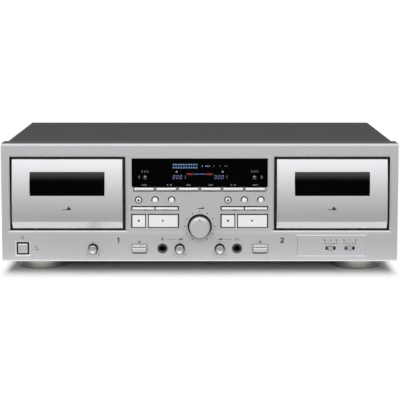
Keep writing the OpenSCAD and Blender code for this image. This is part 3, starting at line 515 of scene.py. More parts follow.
# Name, colour, roughness, metal, grain, spread of tone, spread of roughness, relief in millimetres.
PANEL = Finish("panel", (0.69, 0.685, 0.705), 0.60, 1.0, Grain.BRUSHED, 0.03, 0.03, 0.0012, patches=PANEL_PATCHES)
DOOR = Finish("door", (0.68, 0.675, 0.695), 0.50, 1.0, Grain.FLAKE, 0.03, 0.03, 0.001, patches=DOOR_PATCHES)
KNOB = Finish(
    "knob", (0.82, 0.82, 0.835), 0.50, 1.0, Grain.TURNED, 0.03, 0.04, 0.001, hub=(0.0, LEVEL_Z), patches=(SKIRT,)
)
SMALL_KNOB = Finish(
    "small_knob", (0.84, 0.84, 0.85), 0.45, 1.0, Grain.FLAKE, 0.04, 0.04, 0.001, patches=(SMALL_SKIRT,)
)
CAP = Finish("cap", (0.84, 0.84, 0.85), 0.40, 1.0, Grain.FLAKE, 0.04, 0.04, 0.001)
WHITE_KEY = Finish("white_key", (0.79, 0.79, 0.80), 0.36, 0.0, Grain.FLAKE, 0.02, 0.03, 0.001, coat=0.2)
SILVER_KEY = Finish("silver_key", (0.66, 0.66, 0.67), 0.50, 1.0, Grain.FLAKE, 0.03, 0.03, 0.001)
POWER_KEY = Finish("power_key", (0.76, 0.76, 0.765), 0.50, 1.0, Grain.FLAKE, 0.03, 0.03, 0.001)
# The frame's patches are painted shade and painted light on its web, apart from the red behind the record buttons and
# the switches' slots.
FRAME = Finish("frame", (0.085, 0.085, 0.09), 0.5, 0.0, Grain.PEBBLE, 0.08, 0.06, 0.006, patches=WEBS)
COVER = Finish("cover", (0.078, 0.078, 0.079), 0.66, 0.0, Grain.PEBBLE, 0.18, 0.08, 0.03, specular=0.15)
WINDOW = Finish("window", (0.0008, 0.0008, 0.001), 0.07, 0.0, Grain.GLOSS, 0.2, 0.02, 0.0004)
LENS = Finish("lens", (0.001, 0.001, 0.0012), 0.05, 0.0, Grain.GLOSS, 0.2, 0.02, 0.0004, specular=0.55, alpha=0.86)
ZINC = Finish("zinc", (0.62, 0.62, 0.60), 0.38, 1.0, Grain.SPANGLE, 0.08, 0.06, 0.002)
FOOT = Finish("foot", (0.46, 0.455, 0.43), 0.28, 1.0, Grain.LATHED, 0.08, 0.05, 0.03)
REAR = Finish("rear", (0.02, 0.02, 0.021), 0.42, 0.0, Grain.PEBBLE, 0.15, 0.06, 0.006, patches=SOCKETS)
GLOSS_BLACK = Finish("gloss_black", (0.03, 0.03, 0.032), 0.3, 0.0, Grain.PEBBLE, 0.1, 0.04, 0.001, coat=0.4)
DOME = Finish("dome", (0.32, 0.32, 0.33), 0.26, 1.0, Grain.FLAKE, 0.06, 0.04, 0.001)
SLIDER = Finish("slider", (0.80, 0.80, 0.81), 0.42, 1.0, Grain.FLAKE, 0.04, 0.05, 0.001)
BOARD = Finish("board", (0.03, 0.16, 0.07), 0.4, 0.0, Grain.PEBBLE, 0.15, 0.08, 0.006, coat=0.3)
CORE = Finish("core", (0.15, 0.12, 0.10), 0.5, 0.4, Grain.BRUSHED, 0.25, 0.1, 0.02)
PLATE = Finish("plate", (0.30, 0.30, 0.32), 0.4, 1.0, Grain.SPANGLE, 0.08, 0.06, 0.002)
MOTOR = Finish("motor", (0.58, 0.58, 0.57), 0.3, 1.0, Grain.BRUSHED, 0.06, 0.06, 0.002)
RUBBER = Finish("rubber", (0.02, 0.02, 0.02), 0.7, 0.0, Grain.PEBBLE, 0.2, 0.08, 0.01)
HOLDER = Finish("holder", (0.03, 0.03, 0.032), 0.45, 0.0, Grain.PEBBLE, 0.12, 0.06, 0.006)
BRIDGE = Finish("bridge", (0.52, 0.52, 0.53), 0.32, 1.0, Grain.BRUSHED, 0.05, 0.05, 0.002)
SPINDLE = Finish("spindle", (0.62, 0.62, 0.60), 0.4, 0.0, Grain.PEBBLE, 0.06, 0.05, 0.004)
BRASS = Finish("brass", (0.68, 0.52, 0.26), 0.28, 1.0, Grain.FLAKE, 0.05, 0.05, 0.002)
SCREW = Finish("screw", (0.10, 0.10, 0.105), 0.35, 1.0, Grain.FLAKE, 0.1, 0.06, 0.002)
DARK_INK = printed("dark_ink", (0.02, 0.02, 0.022))
WHITE_INK = printed("white_ink", (0.42, 0.42, 0.40))
PALE_INK = printed("pale_ink", (0.20, 0.20, 0.20))
RED_INK = printed("red_ink", (0.20, 0.07, 0.09), 0.5)
BLUE_LIGHT = lit("blue_light", (0.03, 0.09, 0.20), 0.15)
ICE_LIGHT = lit("ice_light", (0.15, 0.28, 0.45))
DEEP_LIGHT = lit("deep_light", (0.002, 0.011, 0.034))
VIOLET_LIGHT = lit("violet_light", (0.10, 0.12, 0.24))
DIM_LIGHT = lit("dim_light", (0.045, 0.026, 0.03), 0.15, 0.5)
RED_LIGHT = lit("red_light", (0.095, 0.008, 0.0065), 0.15)


class Pen:
    """Outlines in millimetres, as points in x and z."""

    fine = 0.35
    line = 0.4

    @staticmethod
    def bar(x: float, z: float, w: float, h: float, lean: float = 0.0) -> Outline:
        """A rectangle about a centre, leaning by lean millimetres at its top and bottom."""
        return [
            (x - w / 2 - lean, z - h / 2),
            (x + w / 2 - lean, z - h / 2),
            (x + w / 2 + lean, z + h / 2),
            (x - w / 2 + lean, z + h / 2),
        ]

    @staticmethod
    def disc(x: float, z: float, r: float, count: int = 20) -> Outline:
        """A disc."""
        steps = [2 * math.pi * i / count for i in range(count)]
        return [(x + r * math.cos(a), z + r * math.sin(a)) for a in steps]

    @staticmethod
    def dart(x: float, z: float, w: float, h: float) -> Outline:
        """A triangle that points along +x, or along -x where w is negative."""
        return [(x - w / 2, z - h / 2), (x + w / 2, z), (x - w / 2, z + h / 2)]

    @staticmethod
    def peak(x: float, z: float, w: float, h: float) -> Outline:
        """A triangle that points up."""
        return [(x - w / 2, z - h / 2), (x + w / 2, z - h / 2), (x, z + h / 2)]

    @staticmethod
    def wedge(x: float, z: float, w: float, h: float) -> Outline:
        """A level wedge that rises to the right."""
        return [(x - w / 2, z - h / 2), (x + w / 2, z - h / 2), (x + w / 2, z + h / 2)]

    @staticmethod
    def stroke(points: Sequence[Point], width: float) -> Outline:
        """A band of even width along a line of points.

        Args:
            points: The line's points.
            width: The band's width.

        Returns:
            The band's outline.
        """
        line = [Vector(p) for p in points]
        left: Outline = []
        right: Outline = []
        for i, p in enumerate(line):
            before = (p - line[i - 1]).normalized() if i else (line[1] - p).normalized()
            after = (line[i + 1] - p).normalized() if i + 1 < len(line) else before
            along = (before + after).normalized()
            across = Vector((-along.y, along.x))
            half = width / 2 / max(along.dot(after), 0.5)
            left.append(tuple(p + across * half))
            right.append(tuple(p - across * half))
        return left + right[::-1]

    @staticmethod
    def arc(x: float, z: float, r: float, start: float, end: float, width: float, steps: int = 16) -> Outline:
        """A band along an arc.

        Args:
            x: The centre's x.
            z: The centre's z.
            r: Radius of the band's middle.
            start: First angle in degrees from +x.
            end: Last angle.
            width: The band's width.
            steps: Pieces of the arc.

        Returns:
            The band's outline.
        """
        turns = [math.radians(start + (end - start) * i / steps) for i in range(steps + 1)]
        return Pen.stroke([(x + r * math.cos(a), z + r * math.sin(a)) for a in turns], width)

    @staticmethod
    def ring(x: float, z: float, r: float, width: float) -> list[Outline]:
        """A ring, as two half bands."""
        return [Pen.arc(x, z, r, 0, 180, width), Pen.arc(x, z, r, 180, 360, width)]

    @staticmethod
    def one(x: float, z: float, h: float, width: float) -> list[Outline]:
        """The figure 1."""
        top = z + h / 2
        return [
            Pen.bar(x, z, width, h),
            Pen.stroke([(x - h * 0.27, top - h * 0.27), (x - h * 0.05, top - width * 0.4)], width * 0.9),
        ]

    @staticmethod
    def two(x: float, z: float, h: float, width: float) -> list[Outline]:
        """The figure 2.

        Args:
            x: The middle's x.
            z: The middle's z.
            h: The figure's height.
            width: The stroke's width.

        Returns:
            The figure's outlines.
        """
        r = h * 0.25
        centre = z + h / 2 - r - width / 2
        turns = [math.radians(165 - 15 * i) for i in range(14)]
        bow = [(x + r * math.cos(a), centre + r * math.sin(a)) for a in turns]
        foot = z - h / 2 + width / 2
        return [
            Pen.stroke(bow + [(x - r * 0.9, foot + width * 0.3)], width),
            Pen.bar(x, foot, 2 * r + width, width),
        ]

    @staticmethod
    def eject(x: float, z: float) -> list[Outline]:
        """The sign for opening a door."""
        return [Pen.peak(x, z, 2.8, 1.7), Pen.bar(x, z - 1.5, 2.8, 0.5)]

    @staticmethod
    def power(x: float, z: float) -> list[Outline]:
        """The sign for power."""
        return [Pen.arc(x, z, 1.4, 125, 415, Pen.line), Pen.bar(x, z + 0.9, Pen.line, 1.7)]

    @staticmethod
    def microphone(x: float, z: float) -> list[Outline]:
        """A microphone on its foot."""
        body = [Pen.bar(x, z + 0.7, 1.1, 2.2), Pen.arc(x, z + 0.4, 1.2, 180, 360, Pen.fine)]
        return body + [Pen.bar(x, z - 1.2, Pen.fine, 0.8), Pen.bar(x, z - 1.7, 1.6, Pen.fine)]

    @staticmethod
    def headphones(x: float, z: float) -> list[Outline]:
        """A pair of headphones."""
        cups = [Pen.bar(x + side * 1.5, z - 0.9, 0.9, 1.6) for side in SIDES]
        return [Pen.arc(x, z - 0.2, 1.5, 0, 180, Pen.line), *cups]

    @staticmethod
    def digit(figure: str, x: float, z: float, w: float, h: float, width: float, lean: float) -> list[Outline]:
        """A figure of seven slanted bars.

        Args:
            figure: 0 or 1.
            x: The middle's x.
            z: The middle's z.
            w: Width between the upright bars.
            h: Height between the outer level bars.
            width: The bars' width.
            lean: How far the top leans over the bottom.

        Returns:
            The lit bars' outlines.
        """
        gap = width * 0.35
        upright = h / 2 - width - gap
        slant = lean * upright / (2 * h)
        bars: list[Outline] = []
        for side in SIDES if figure == "0" else (1,):
            for half in SIDES:
                shift = lean * half / 4
                bars.append(Pen.bar(x + side * w / 2 + shift, z + half * h / 4, width, upright, slant))
        if figure == "0":
            for half in SIDES:
                bars.append(Pen.bar(x + half * lean / 2, z + half * h / 2, w - width, width))
        return bars


class Relief:
    """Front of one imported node, for seating marks on it."""

    _kept: dict[str, "Relief"] = {}

    def __init__(self, node: str) -> None:
        """Reads the node's faces.

        Args:
            node: The node's name.
        """
        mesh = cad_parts[node].data
        self.node = node
        self.tree = BVHTree.FromPolygons([v.co for v in mesh.vertices], [p.vertices for p in mesh.polygons])

    @classmethod
    def of(cls, node: str) -> "Relief":
        """The node's relief, read once.

        Args:
            node: The node's name.

        Returns:
            The relief.
        """
        if node not in cls._kept:
            cls._kept[node] = cls(node)
        return cls._kept[node]

    def front(self, x: float, z: float) -> float:
        """Where the node's front is.

        Args:
            x: Millimetres across.
            z: Millimetres up.

        Returns:
            The front's y in metres.
        """
        hit = self.tree.ray_cast(Vector((x * MM, -1.0, z * MM)), Vector((0, 1, 0)))[0]
        if hit is None:
            raise ValueError(f"no face of {self.node} at {x}, {z}")
        return hit.y


def piece(name: str, form: bmesh.types.BMesh, finish: Finish, body: str) -> bpy.types.Object:
    """Makes one piece of the scene from a mesh under construction.

    Args:
        name: The piece's name.
        form: The mesh, which is freed.
        finish: Its finish.
        body: The body that it rides on.

    Returns:
        The piece.
    """
    bmesh.ops.recalc_face_normals(form, faces=form.faces)
    mesh = bpy.data.meshes.new(name)
    form.to_mesh(mesh)
    form.free()
    mesh.materials.append(finish.material())
    made = bpy.data.objects.new(name, mesh)
    bpy.context.scene.collection.objects.link(made)
    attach(made, body)
    LOG.info("%s: %d faces on %s", name, len(mesh.polygons), body)
    return made


def wall(form: bmesh.types.BMesh, front: Corners, back: Corners, smooth: bool = False) -> None:
    """Joins two rows of corners with a closed wall.

    Args:
        form: The mesh that takes it.
        front: The first row.
        back: The second row, with as many corners.
        smooth: Whether the wall is shaded smooth.
    """
    for i in range(len(front)):
        j = (i + 1) % len(front)
        form.faces.new((front[j], front[i], back[i], back[j])).smooth = smooth


@dataclass
class Print:
    """Marks of one colour on one node, gathered into one piece."""

    name: str
    finish: Finish
    node: str
    body: str = "casing"
    slot: str = "black_socket"
    lift: float = 0.01
    thick: float = 0.05
    crowned: bool = False
    form: bmesh.types.BMesh = field(default_factory=bmesh.new)

    def add(self, *outlines: Outline) -> None:
        """Seats outlines on the node's front, as thin closed prisms.

        Args:
            *outlines: The outlines.
        """
        relief = Relief.of(self.node)
        for outline in outlines:
            seats = [Vector((x * MM, relief.front(x, z), z * MM)) for x, z in outline]
            rows = []
            for out in (self.lift + self.thick, self.lift):
                rows.append([self.form.verts.new(seat - Vector((0, out * MM, 0))) for seat in seats])
            self.form.faces.new(rows[1][::-1])
            wall(self.form, *rows)
            if self.crowned:
                self.crown(relief, outline, rows[0])
            else:
                self.form.faces.new(rows[0])

    def crown(self, relief: Relief, outline: Outline, row: Corners) -> None:
        """Closes a prism's front with faces that follow a domed key.

        Args:
            relief: The key's front.
            outline: The prism's outline.
            row: The prism's front corners.
        """
        x, z = (sum(p[k] for p in outline) / len(outline) for k in (0, 1))
        top = relief.front(x, z) - (self.lift + self.thick) * MM
        middle = self.form.verts.new(Vector((x * MM, top, z * MM)))
        for i, corner in enumerate(row):
            self.form.faces.new((corner, row[(i + 1) % len(row)], middle))

    def build(self) -> bpy.types.Object:
        """Makes the piece."""
        return piece(self.name, self.form, self.finish, self.body)


@dataclass(frozen=True)
class Rim:
    """A box across the front, alike on both sides, in which edges are rounded by a width of their own."""

    x: float
    z: float
    half_w: float
    half_h: float
    width: float


class Edges:
    """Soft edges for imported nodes, made by modifiers alone."""

    sharp = math.radians(32)
    flat = math.radians(0.2)
    weld = 0.000002
    segments = 2
    rim_depth = 0.3
    joint_gap = 0.05
    _group: bpy.types.NodeTree | None = None

    @staticmethod
    def tree(name: str) -> tuple[bpy.types.NodeTree, Graph]:
        """Makes a group of geometry nodes that takes in and gives out a mesh.

        Args:
            name: The group's name.

        Returns:
            The group and its empty graph.
        """
        made = bpy.data.node_groups.new(name, "GeometryNodeTree")
        for way in ("INPUT", "OUTPUT"):
            made.interface.new_socket("Geometry", in_out=way, socket_type="NodeSocketGeometry")
        return made, Graph(made)

    @classmethod
    def group(cls) -> bpy.types.NodeTree:
        """Geometry nodes that join a node's faces and shade them by angle.

        Returns:
            The node group, made once.
        """
        if cls._group:
            return cls._group
        cls._group, graph = cls.tree("join_faces")
        mesh = graph.result("NodeGroupInput")
        mesh = graph.result("GeometryNodeRemoveAttribute", None, {0: mesh, "Name": "custom_normal"})
        mesh = graph.result("GeometryNodeMergeByDistance", None, {0: mesh, "Distance": cls.weld})
        mesh = graph.result("GeometryNodeSetShadeSmooth", {"domain": "FACE"}, {0: mesh})
        angle = graph.result("GeometryNodeInputMeshEdgeAngle")
        smooth = graph.result("FunctionNodeCompare", {"operation": "LESS_THAN"}, {0: angle, 1: cls.sharp})
        mesh = graph.result("GeometryNodeSetShadeSmooth", {"domain": "EDGE"}, {0: mesh, "Shade Smooth": smooth})
        graph.node("NodeGroupOutput", None, {0: mesh})
        return cls._group

    @classmethod
    def weights(cls, width: float, joints: Sequence[float], rims: Sequence[Rim]) -> bpy.types.NodeTree:
        """Geometry nodes that weigh the sharp edges, apart from those at joints between sections.

        Args:
            width: The rounding's width outside the rims, as a share of the widest.
            joints: Each joint's distance from the middle, in millimetres across.
            rims: The rims, with widths as shares of the widest.

        Returns:
            The node group.
        """
        made, graph = cls.tree("mark_edges")
        mesh = graph.result("NodeGroupInput")
        x, deep, up = graph.split(graph.result("GeometryNodeInputPosition"))
        across = x.size()
        share: Value = width
        for rim in rims:
            inside = (across - rim.x * MM).size().below(rim.half_w * MM)
            inside = inside * (up - rim.z * MM).size().below(rim.half_h * MM)
            inside = inside * deep.below((FACE + cls.rim_depth) * MM)
            share = (1 - inside) * share + inside * rim.width
        weight = graph.result("GeometryNodeInputMeshEdgeAngle").above(cls.sharp) * share
        for joint in joints:
            weight = weight * (across - joint * MM).size().above(cls.joint_gap * MM)
        mesh = graph.result(
            "GeometryNodeStoreNamedAttribute",
            {"data_type": "FLOAT", "domain": "EDGE"},
            {"Geometry": mesh, "Name": "bevel_weight_edge", "Value": weight},
        )
        graph.node("NodeGroupOutput", None, {0: mesh})
        return made

    @classmethod
    def soften(
        cls, node: bpy.types.Object, width: float, joints: Sequence[float] = (), rims: Sequence[Rim] = ()
    ) -> None:
        """Rounds a node's edges.

        Args:
            node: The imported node.
            width: The rounding's width in millimetres.
            joints: Places across of joints between sections, which stay closed.
            rims: Rims with a width of their own.
        """
        widest = max([width, *(rim.width for rim in rims)])
        join = node.modifiers.new("join", "NODES")
        join.node_group = cls.group()
        flat = node.modifiers.new("flat", "DECIMATE")
        flat.decimate_type = "DISSOLVE"
        flat.angle_limit = cls.flat
        if joints:
            marks = node.modifiers.new("marks", "NODES")
            shares = [replace(rim, width=rim.width / widest) for rim in rims]
            marks.node_group = cls.weights(width / widest, joints, shares)
        bevel = node.modifiers.new("edge", "BEVEL")
        bevel.limit_method = "WEIGHT" if joints else "ANGLE"
        bevel.angle_limit = cls.sharp
        bevel.width = widest * MM
        bevel.use_clamp_overlap = False
        bevel.segments = cls.segments
        bevel.harden_normals = True


def dress(
    finish: Finish, width: float, *names: str, joints: Sequence[float] = (), rims: Sequence[Rim] = ()
) -> None:
    """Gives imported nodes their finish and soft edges.

    Args:
        finish: The finish.
        width: Width of the soft edges in millimetres, or 0 for none.
        *names: The nodes' names.
        joints: Places across of joints between a node's sections.
        rims: Rims with a width of their own.
    """
    for name in names:
        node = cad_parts[name]
        for slot in node.material_slots:
            slot.link = "OBJECT"
            slot.material = finish.material()
        if width:
            Edges.soften(node, width, joints, rims)
        LOG.info("%s: %s", name, finish.name)


def pair(name: str) -> tuple[str, str]:
    """The names of a left and a right node."""
    return f"{name}_1", f"{name}_2"


@dataclass
class Screws:
    """Pan-head screws with a cross recess."""

    radius: float = 3.2
    height: float = 2.0
    count: int = 24
    profile: tuple[Point, ...] = ((1.0, 0.0), (1.0, 0.35), (0.94, 0.62), (0.78, 0.86))
    arm: float = 0.52
    half_arm: float = 0.13
    taper: float = 0.7
    floor: float = 0.35

    def cross(self) -> list[Vector]:
        """The recess's corners, seen from above.

        Returns:
            The corners in millimetres, in order round it.
        """
        arm, half = self.radius * self.arm, self.radius * self.half_arm
        turns = [Matrix.Rotation(quarter * math.pi / 2, 3, "Z") for quarter in range(4)]
        return [turn @ Vector((x, y, 0)) for turn in turns for x, y in ((arm, -half), (arm, half), (half, half))]

    def fan(self, form: bmesh.types.BMesh, rim: Corners, top: Corners, cross: Sequence[Vector]) -> None:
        """Closes the head's top, between its rim and the recess.

        Args:
            form: The mesh that takes it.
            rim: The rim's corners.
            top: The recess's upper corners.
            cross: Where they are on the head.
        """
        full, wide = 2 * math.pi, len(rim)
        bearings = [math.atan2(p.y, p.x) % full for p in cross]
        order = sorted(range(len(top)), key=bearings.__getitem__)
        marks = [round(bearings[k] / full * wide) for k in order]
        marks.append(marks[0] + wide)
        for k, after, first, last in zip(order, order[1:] + order[:1], marks, marks[1:]):
            for step in range(first, last):
                form.faces.new((rim[step % wide], rim[(step + 1) % wide], top[k]))
            form.faces.new((rim[last % wide], top[after], top[k]))

    def head(self, form: bmesh.types.BMesh, place: Matrix) -> None:
        """Adds one head, standing along the place's z axis.

        Args:
            form: The mesh that takes it.
            place: Where its seat is.
        """
        rings = []
        for share, up in self.profile:
            spots = [Vector((*spot, self.height * up)) for spot in Pen.disc(0.0, 0.0, self.radius * share, self.count)]
            rings.append([form.verts.new(place @ (spot * MM)) for spot in spots])
        form.faces.new(rings[0][::-1])
        for low, high in zip(rings, rings[1:]):
            wall(form, high, low)
        cross = self.cross()
        rows = []
        for share, up in ((1.0, 1.0), (self.taper, self.floor)):
            rise = Vector((0, 0, self.height * up))
            rows.append([form.verts.new(place @ ((p * share + rise) * MM)) for p in cross])
        wall(form, *rows)
        form.faces.new(rows[1])
        self.fan(form, rings[-1], rows[0], cross)

    def build(self, name: str, places: Sequence[Matrix], finish: Finish) -> bpy.types.Object:
        """Makes one piece of all the heads at the given places.

        Args:
            name: The piece's name.
            places: Where the heads sit.
            finish: The heads' finish.

        Returns:
            The piece.
        """
        form = bmesh.new()
        for place in places:
            self.head(form, place)
        return piece(name, form, finish, "casing")


@dataclass
class Casing:
    """Cover, chassis, frame, feet and the rear's sockets."""

    cover_side: float = 215.8
    rear: float = REAR_FACE
    side_screw_ys: tuple[float, ...] = (-52.0, 92.0)
    side_screw_z: float = 24.0
    rear_screw_xs: tuple[float, ...] = (-190.0, -60.0, 60.0, 190.0)
    rear_screw_z: float = 134.5

    def dress(self) -> None:
        """Gives the casing's nodes their finishes."""
        dress(COVER, 0.3, "top_cover")
        dress(FRAME, 0.3, "front_frame")
        dress(ZINC, 0.0, "chassis")
        dress(FOOT, 0.4, "feet")
        dress(GLOSS_BLACK, 0.4, "front_sockets")
        dress(REAR, 0.2, "rear_connectors")
        dress(BOARD, 0.0, "circuit_boards")
        dress(CORE, 0.0, "power_transformer")

    def screws(self) -> None:
        """Puts the cover's screws in its sides and rear edge."""
        places = []
        for side in SIDES:
            for y in self.side_screw_ys:
                at = Matrix.Translation(Vector((side * self.cover_side, y, self.side_screw_z)) * MM)
                places.append(at @ Matrix.Rotation(side * math.pi / 2, 4, "Y"))
        for x in self.rear_screw_xs:
            at = Matrix.Translation(Vector((x, self.rear, self.rear_screw_z)) * MM)
            places.append(at @ Matrix.Rotation(-math.pi / 2, 4, "X"))
        Screws().build("cover_screws", places, SCREW)

    def build(self) -> None:
        """Dresses the casing and adds its screws."""
        self.dress()
        self.screws()


@dataclass
class Doors:
    """The two cassette doors and what is behind them."""

    door_x: float = 145.0
    mark_z: float = 71.2
    line: Point = (9.4, 0.7)
    arrow: tuple[Point, ...] = ((-0.3, 0.3), (4.9, 0.3), (1.1, 3.6))

    def dress(self) -> None:
        """Gives the doors and transports their finishes."""
        dress(DOOR, 0.35, *pair("door_cover"))
        dress(LENS, 0.2, *pair("door_lens"))
        dress(HOLDER, 0.2, *pair("cassette_holder"))
        dress(PLATE, 0.0, "transport_plates")
        dress(MOTOR, 0.0, "drive_motors")
        dress(RUBBER, 0.0, "drive_belts")
        dress(SPINDLE, 0.15, *pair("supply_spindle"), *pair("takeup_spindle"))
        dress(BRASS, 0.0, *pair("capstan_flywheel"), *pair("motor_pulley"))
        dress(BRIDGE, 0.15, *pair("head_bridge"))

    def marks(self) -> None:
        """Prints the tape's direction on each door."""
        for number, side in enumerate(SIDES, 1):
            x, z = side * self.door_x, self.mark_z
            marks = Print(f"door_mark_{number}", DARK_INK, f"door_cover_{number}", f"door_{number}")
            marks.add(Pen.bar(x - 0.5, z, *self.line), [(x + u, z + v) for u, v in self.arrow])
            marks.build()

    def build(self) -> None:
        """Dresses the doors and prints them."""
        self.dress()
        self.marks()


@dataclass
class Display:
    """Black window with its lit segments. Shapes are widths and heights in millimetres."""

    node: str = "display_window"
    bar_x: float = -28.6
    bar_pitch: float = 2.8
    bar_count: int = 10
    bar_zs: Point = (120.3, 116.5)
    bar: Point = (1.5, 0.75)
    ground: Point = (2.3, 4.4)
    scale_xs: tuple[float, ...] = (2.7, 6.6, 8.6, 10.6)
    scale: Point = (0.8, 1.1)
    over_xs: tuple[float, ...] = (15.5, 22.4, 27.9, 29.8)
    over: Point = (1.4, 1.5)
    label_z: float = 112.5
    peak_x: float = 25.2
    peak: Point = (2.6, 1.7)
    counter_xs: Point = (-22.5, 23.0)
    counter_z: float = 106.3
    figure_pitch: float = 3.8
    figure: tuple[float, ...] = (2.0, 3.9, 0.45, 0.6)
    mode_z: float = 109.6
    mode_h: float = 2.0
    mode_bars: tuple[Point, ...] = ((7.4, 1.0), (10.6, 4.4), (13.9, 1.0))
    line_x: float = 3.2
    line: Point = (5.6, 0.8)
    number_xs: Point = (-66.2, 67.9)
    number: Point = (3.0, 0.6)
    zero_x: float = 60.0
    zero_pitch: float = 3.0
    zero: tuple[float, ...] = (1.5, 2.0, 0.32, 0.0)
    sign_z: float = 97.6
    sign: Point = (2.0, 1.8)
    skip_xs: Point = (59.4, 61.6)
    skip_end: float = 63.4
    copy_x: float = 35.0
    search_x: float = 12.2

    def light(self, name: str, finish: Finish, **seat: float) -> Print:
        """Starts one kind of light on the window."""
        return Print(name, finish, self.node, slot="black_window", **seat)

    def levels(self) -> None:
        """Makes the two level bars with their dim ground and the scale between them."""
        ground = self.light("level_ground", DEEP_LIGHT, lift=0.005, thick=0.03)
        bars = self.light("level_bars", ICE_LIGHT)
        over = self.light("level_over", DIM_LIGHT)
        middle = sum(self.bar_zs) / 2
        for i in range(self.bar_count):
            x = self.bar_x + i * self.bar_pitch
            ground.add(Pen.bar(x, middle, *self.ground))
            bars.add(*(Pen.bar(x, z, *self.bar) for z in self.bar_zs))
        bars.add(*(Pen.bar(x, middle, *self.scale) for x in self.scale_xs))
        over.add(*(Pen.bar(x, middle, *self.over) for x in self.over_xs))
        for mark in (ground, bars, over):
            mark.build()

    def counters(self) -> None:
        """Makes the counters and the mode lights between them."""
        peaks = self.light("tape_peaks", WHITE_INK)
        figures = self.light("counter_figures", VIOLET_LIGHT)
        modes = self.light("mode_lights", RED_LIGHT)
        lines = self.light("mode_line", BLUE_LIGHT)
        for side, middle in zip(SIDES, self.counter_xs):
            peaks.add(Pen.peak(side * self.peak_x, self.label_z, *self.peak))
            for i, digit in enumerate("0001"):
                x = middle + (i - 1.5) * self.figure_pitch
                figures.add(*Pen.digit(digit, x, self.counter_z, *self.figure))
            modes.add(*(Pen.bar(side * x, self.mode_z, w, self.mode_h) for x, w in self.mode_bars))
            lines.add(Pen.bar(side * self.line_x, self.mode_z, *self.line))
        for mark in (peaks, figures, modes, lines):
            mark.build()

    def signs(self) -> None:
        """Prints plain signs on the window."""
        signs = Print("window_signs", PALE_INK, self.node, slot="white_key")
        left, right = self.number_xs
        signs.add(*Pen.one(left, self.counter_z, *self.number), *Pen.two(right, self.counter_z, *self.number))
        z = self.sign_z
        wide, tall = self.sign
        for side in SIDES:
            for i in (-1, 0, 1):
                signs.add(*Pen.digit("0", side * self.zero_x + i * self.zero_pitch, self.label_z, *self.zero))
            signs.add(*(Pen.dart(side * x, z, side * wide, tall) for x in self.skip_xs))
            signs.add(Pen.bar(side * self.skip_end, z, 0.5, tall))
            x = side * self.copy_x
            signs.add(Pen.dart(x, z, wide, tall), Pen.disc(x + 3.4, z, tall / 2))
            x = side * self.search_x
            signs.add(*Pen.ring(x - 1.2, z, 0.8, 0.4), Pen.dart(x + 1.6, z, wide, tall))
        signs.build()

    def build(self) -> None:
        """Dresses the window and adds its lights and signs."""
        dress(WINDOW, 0.2, self.node)
        dress(DOME, 0.8, *pair("counter_reset"))
        self.levels()
        self.counters()
        self.signs()


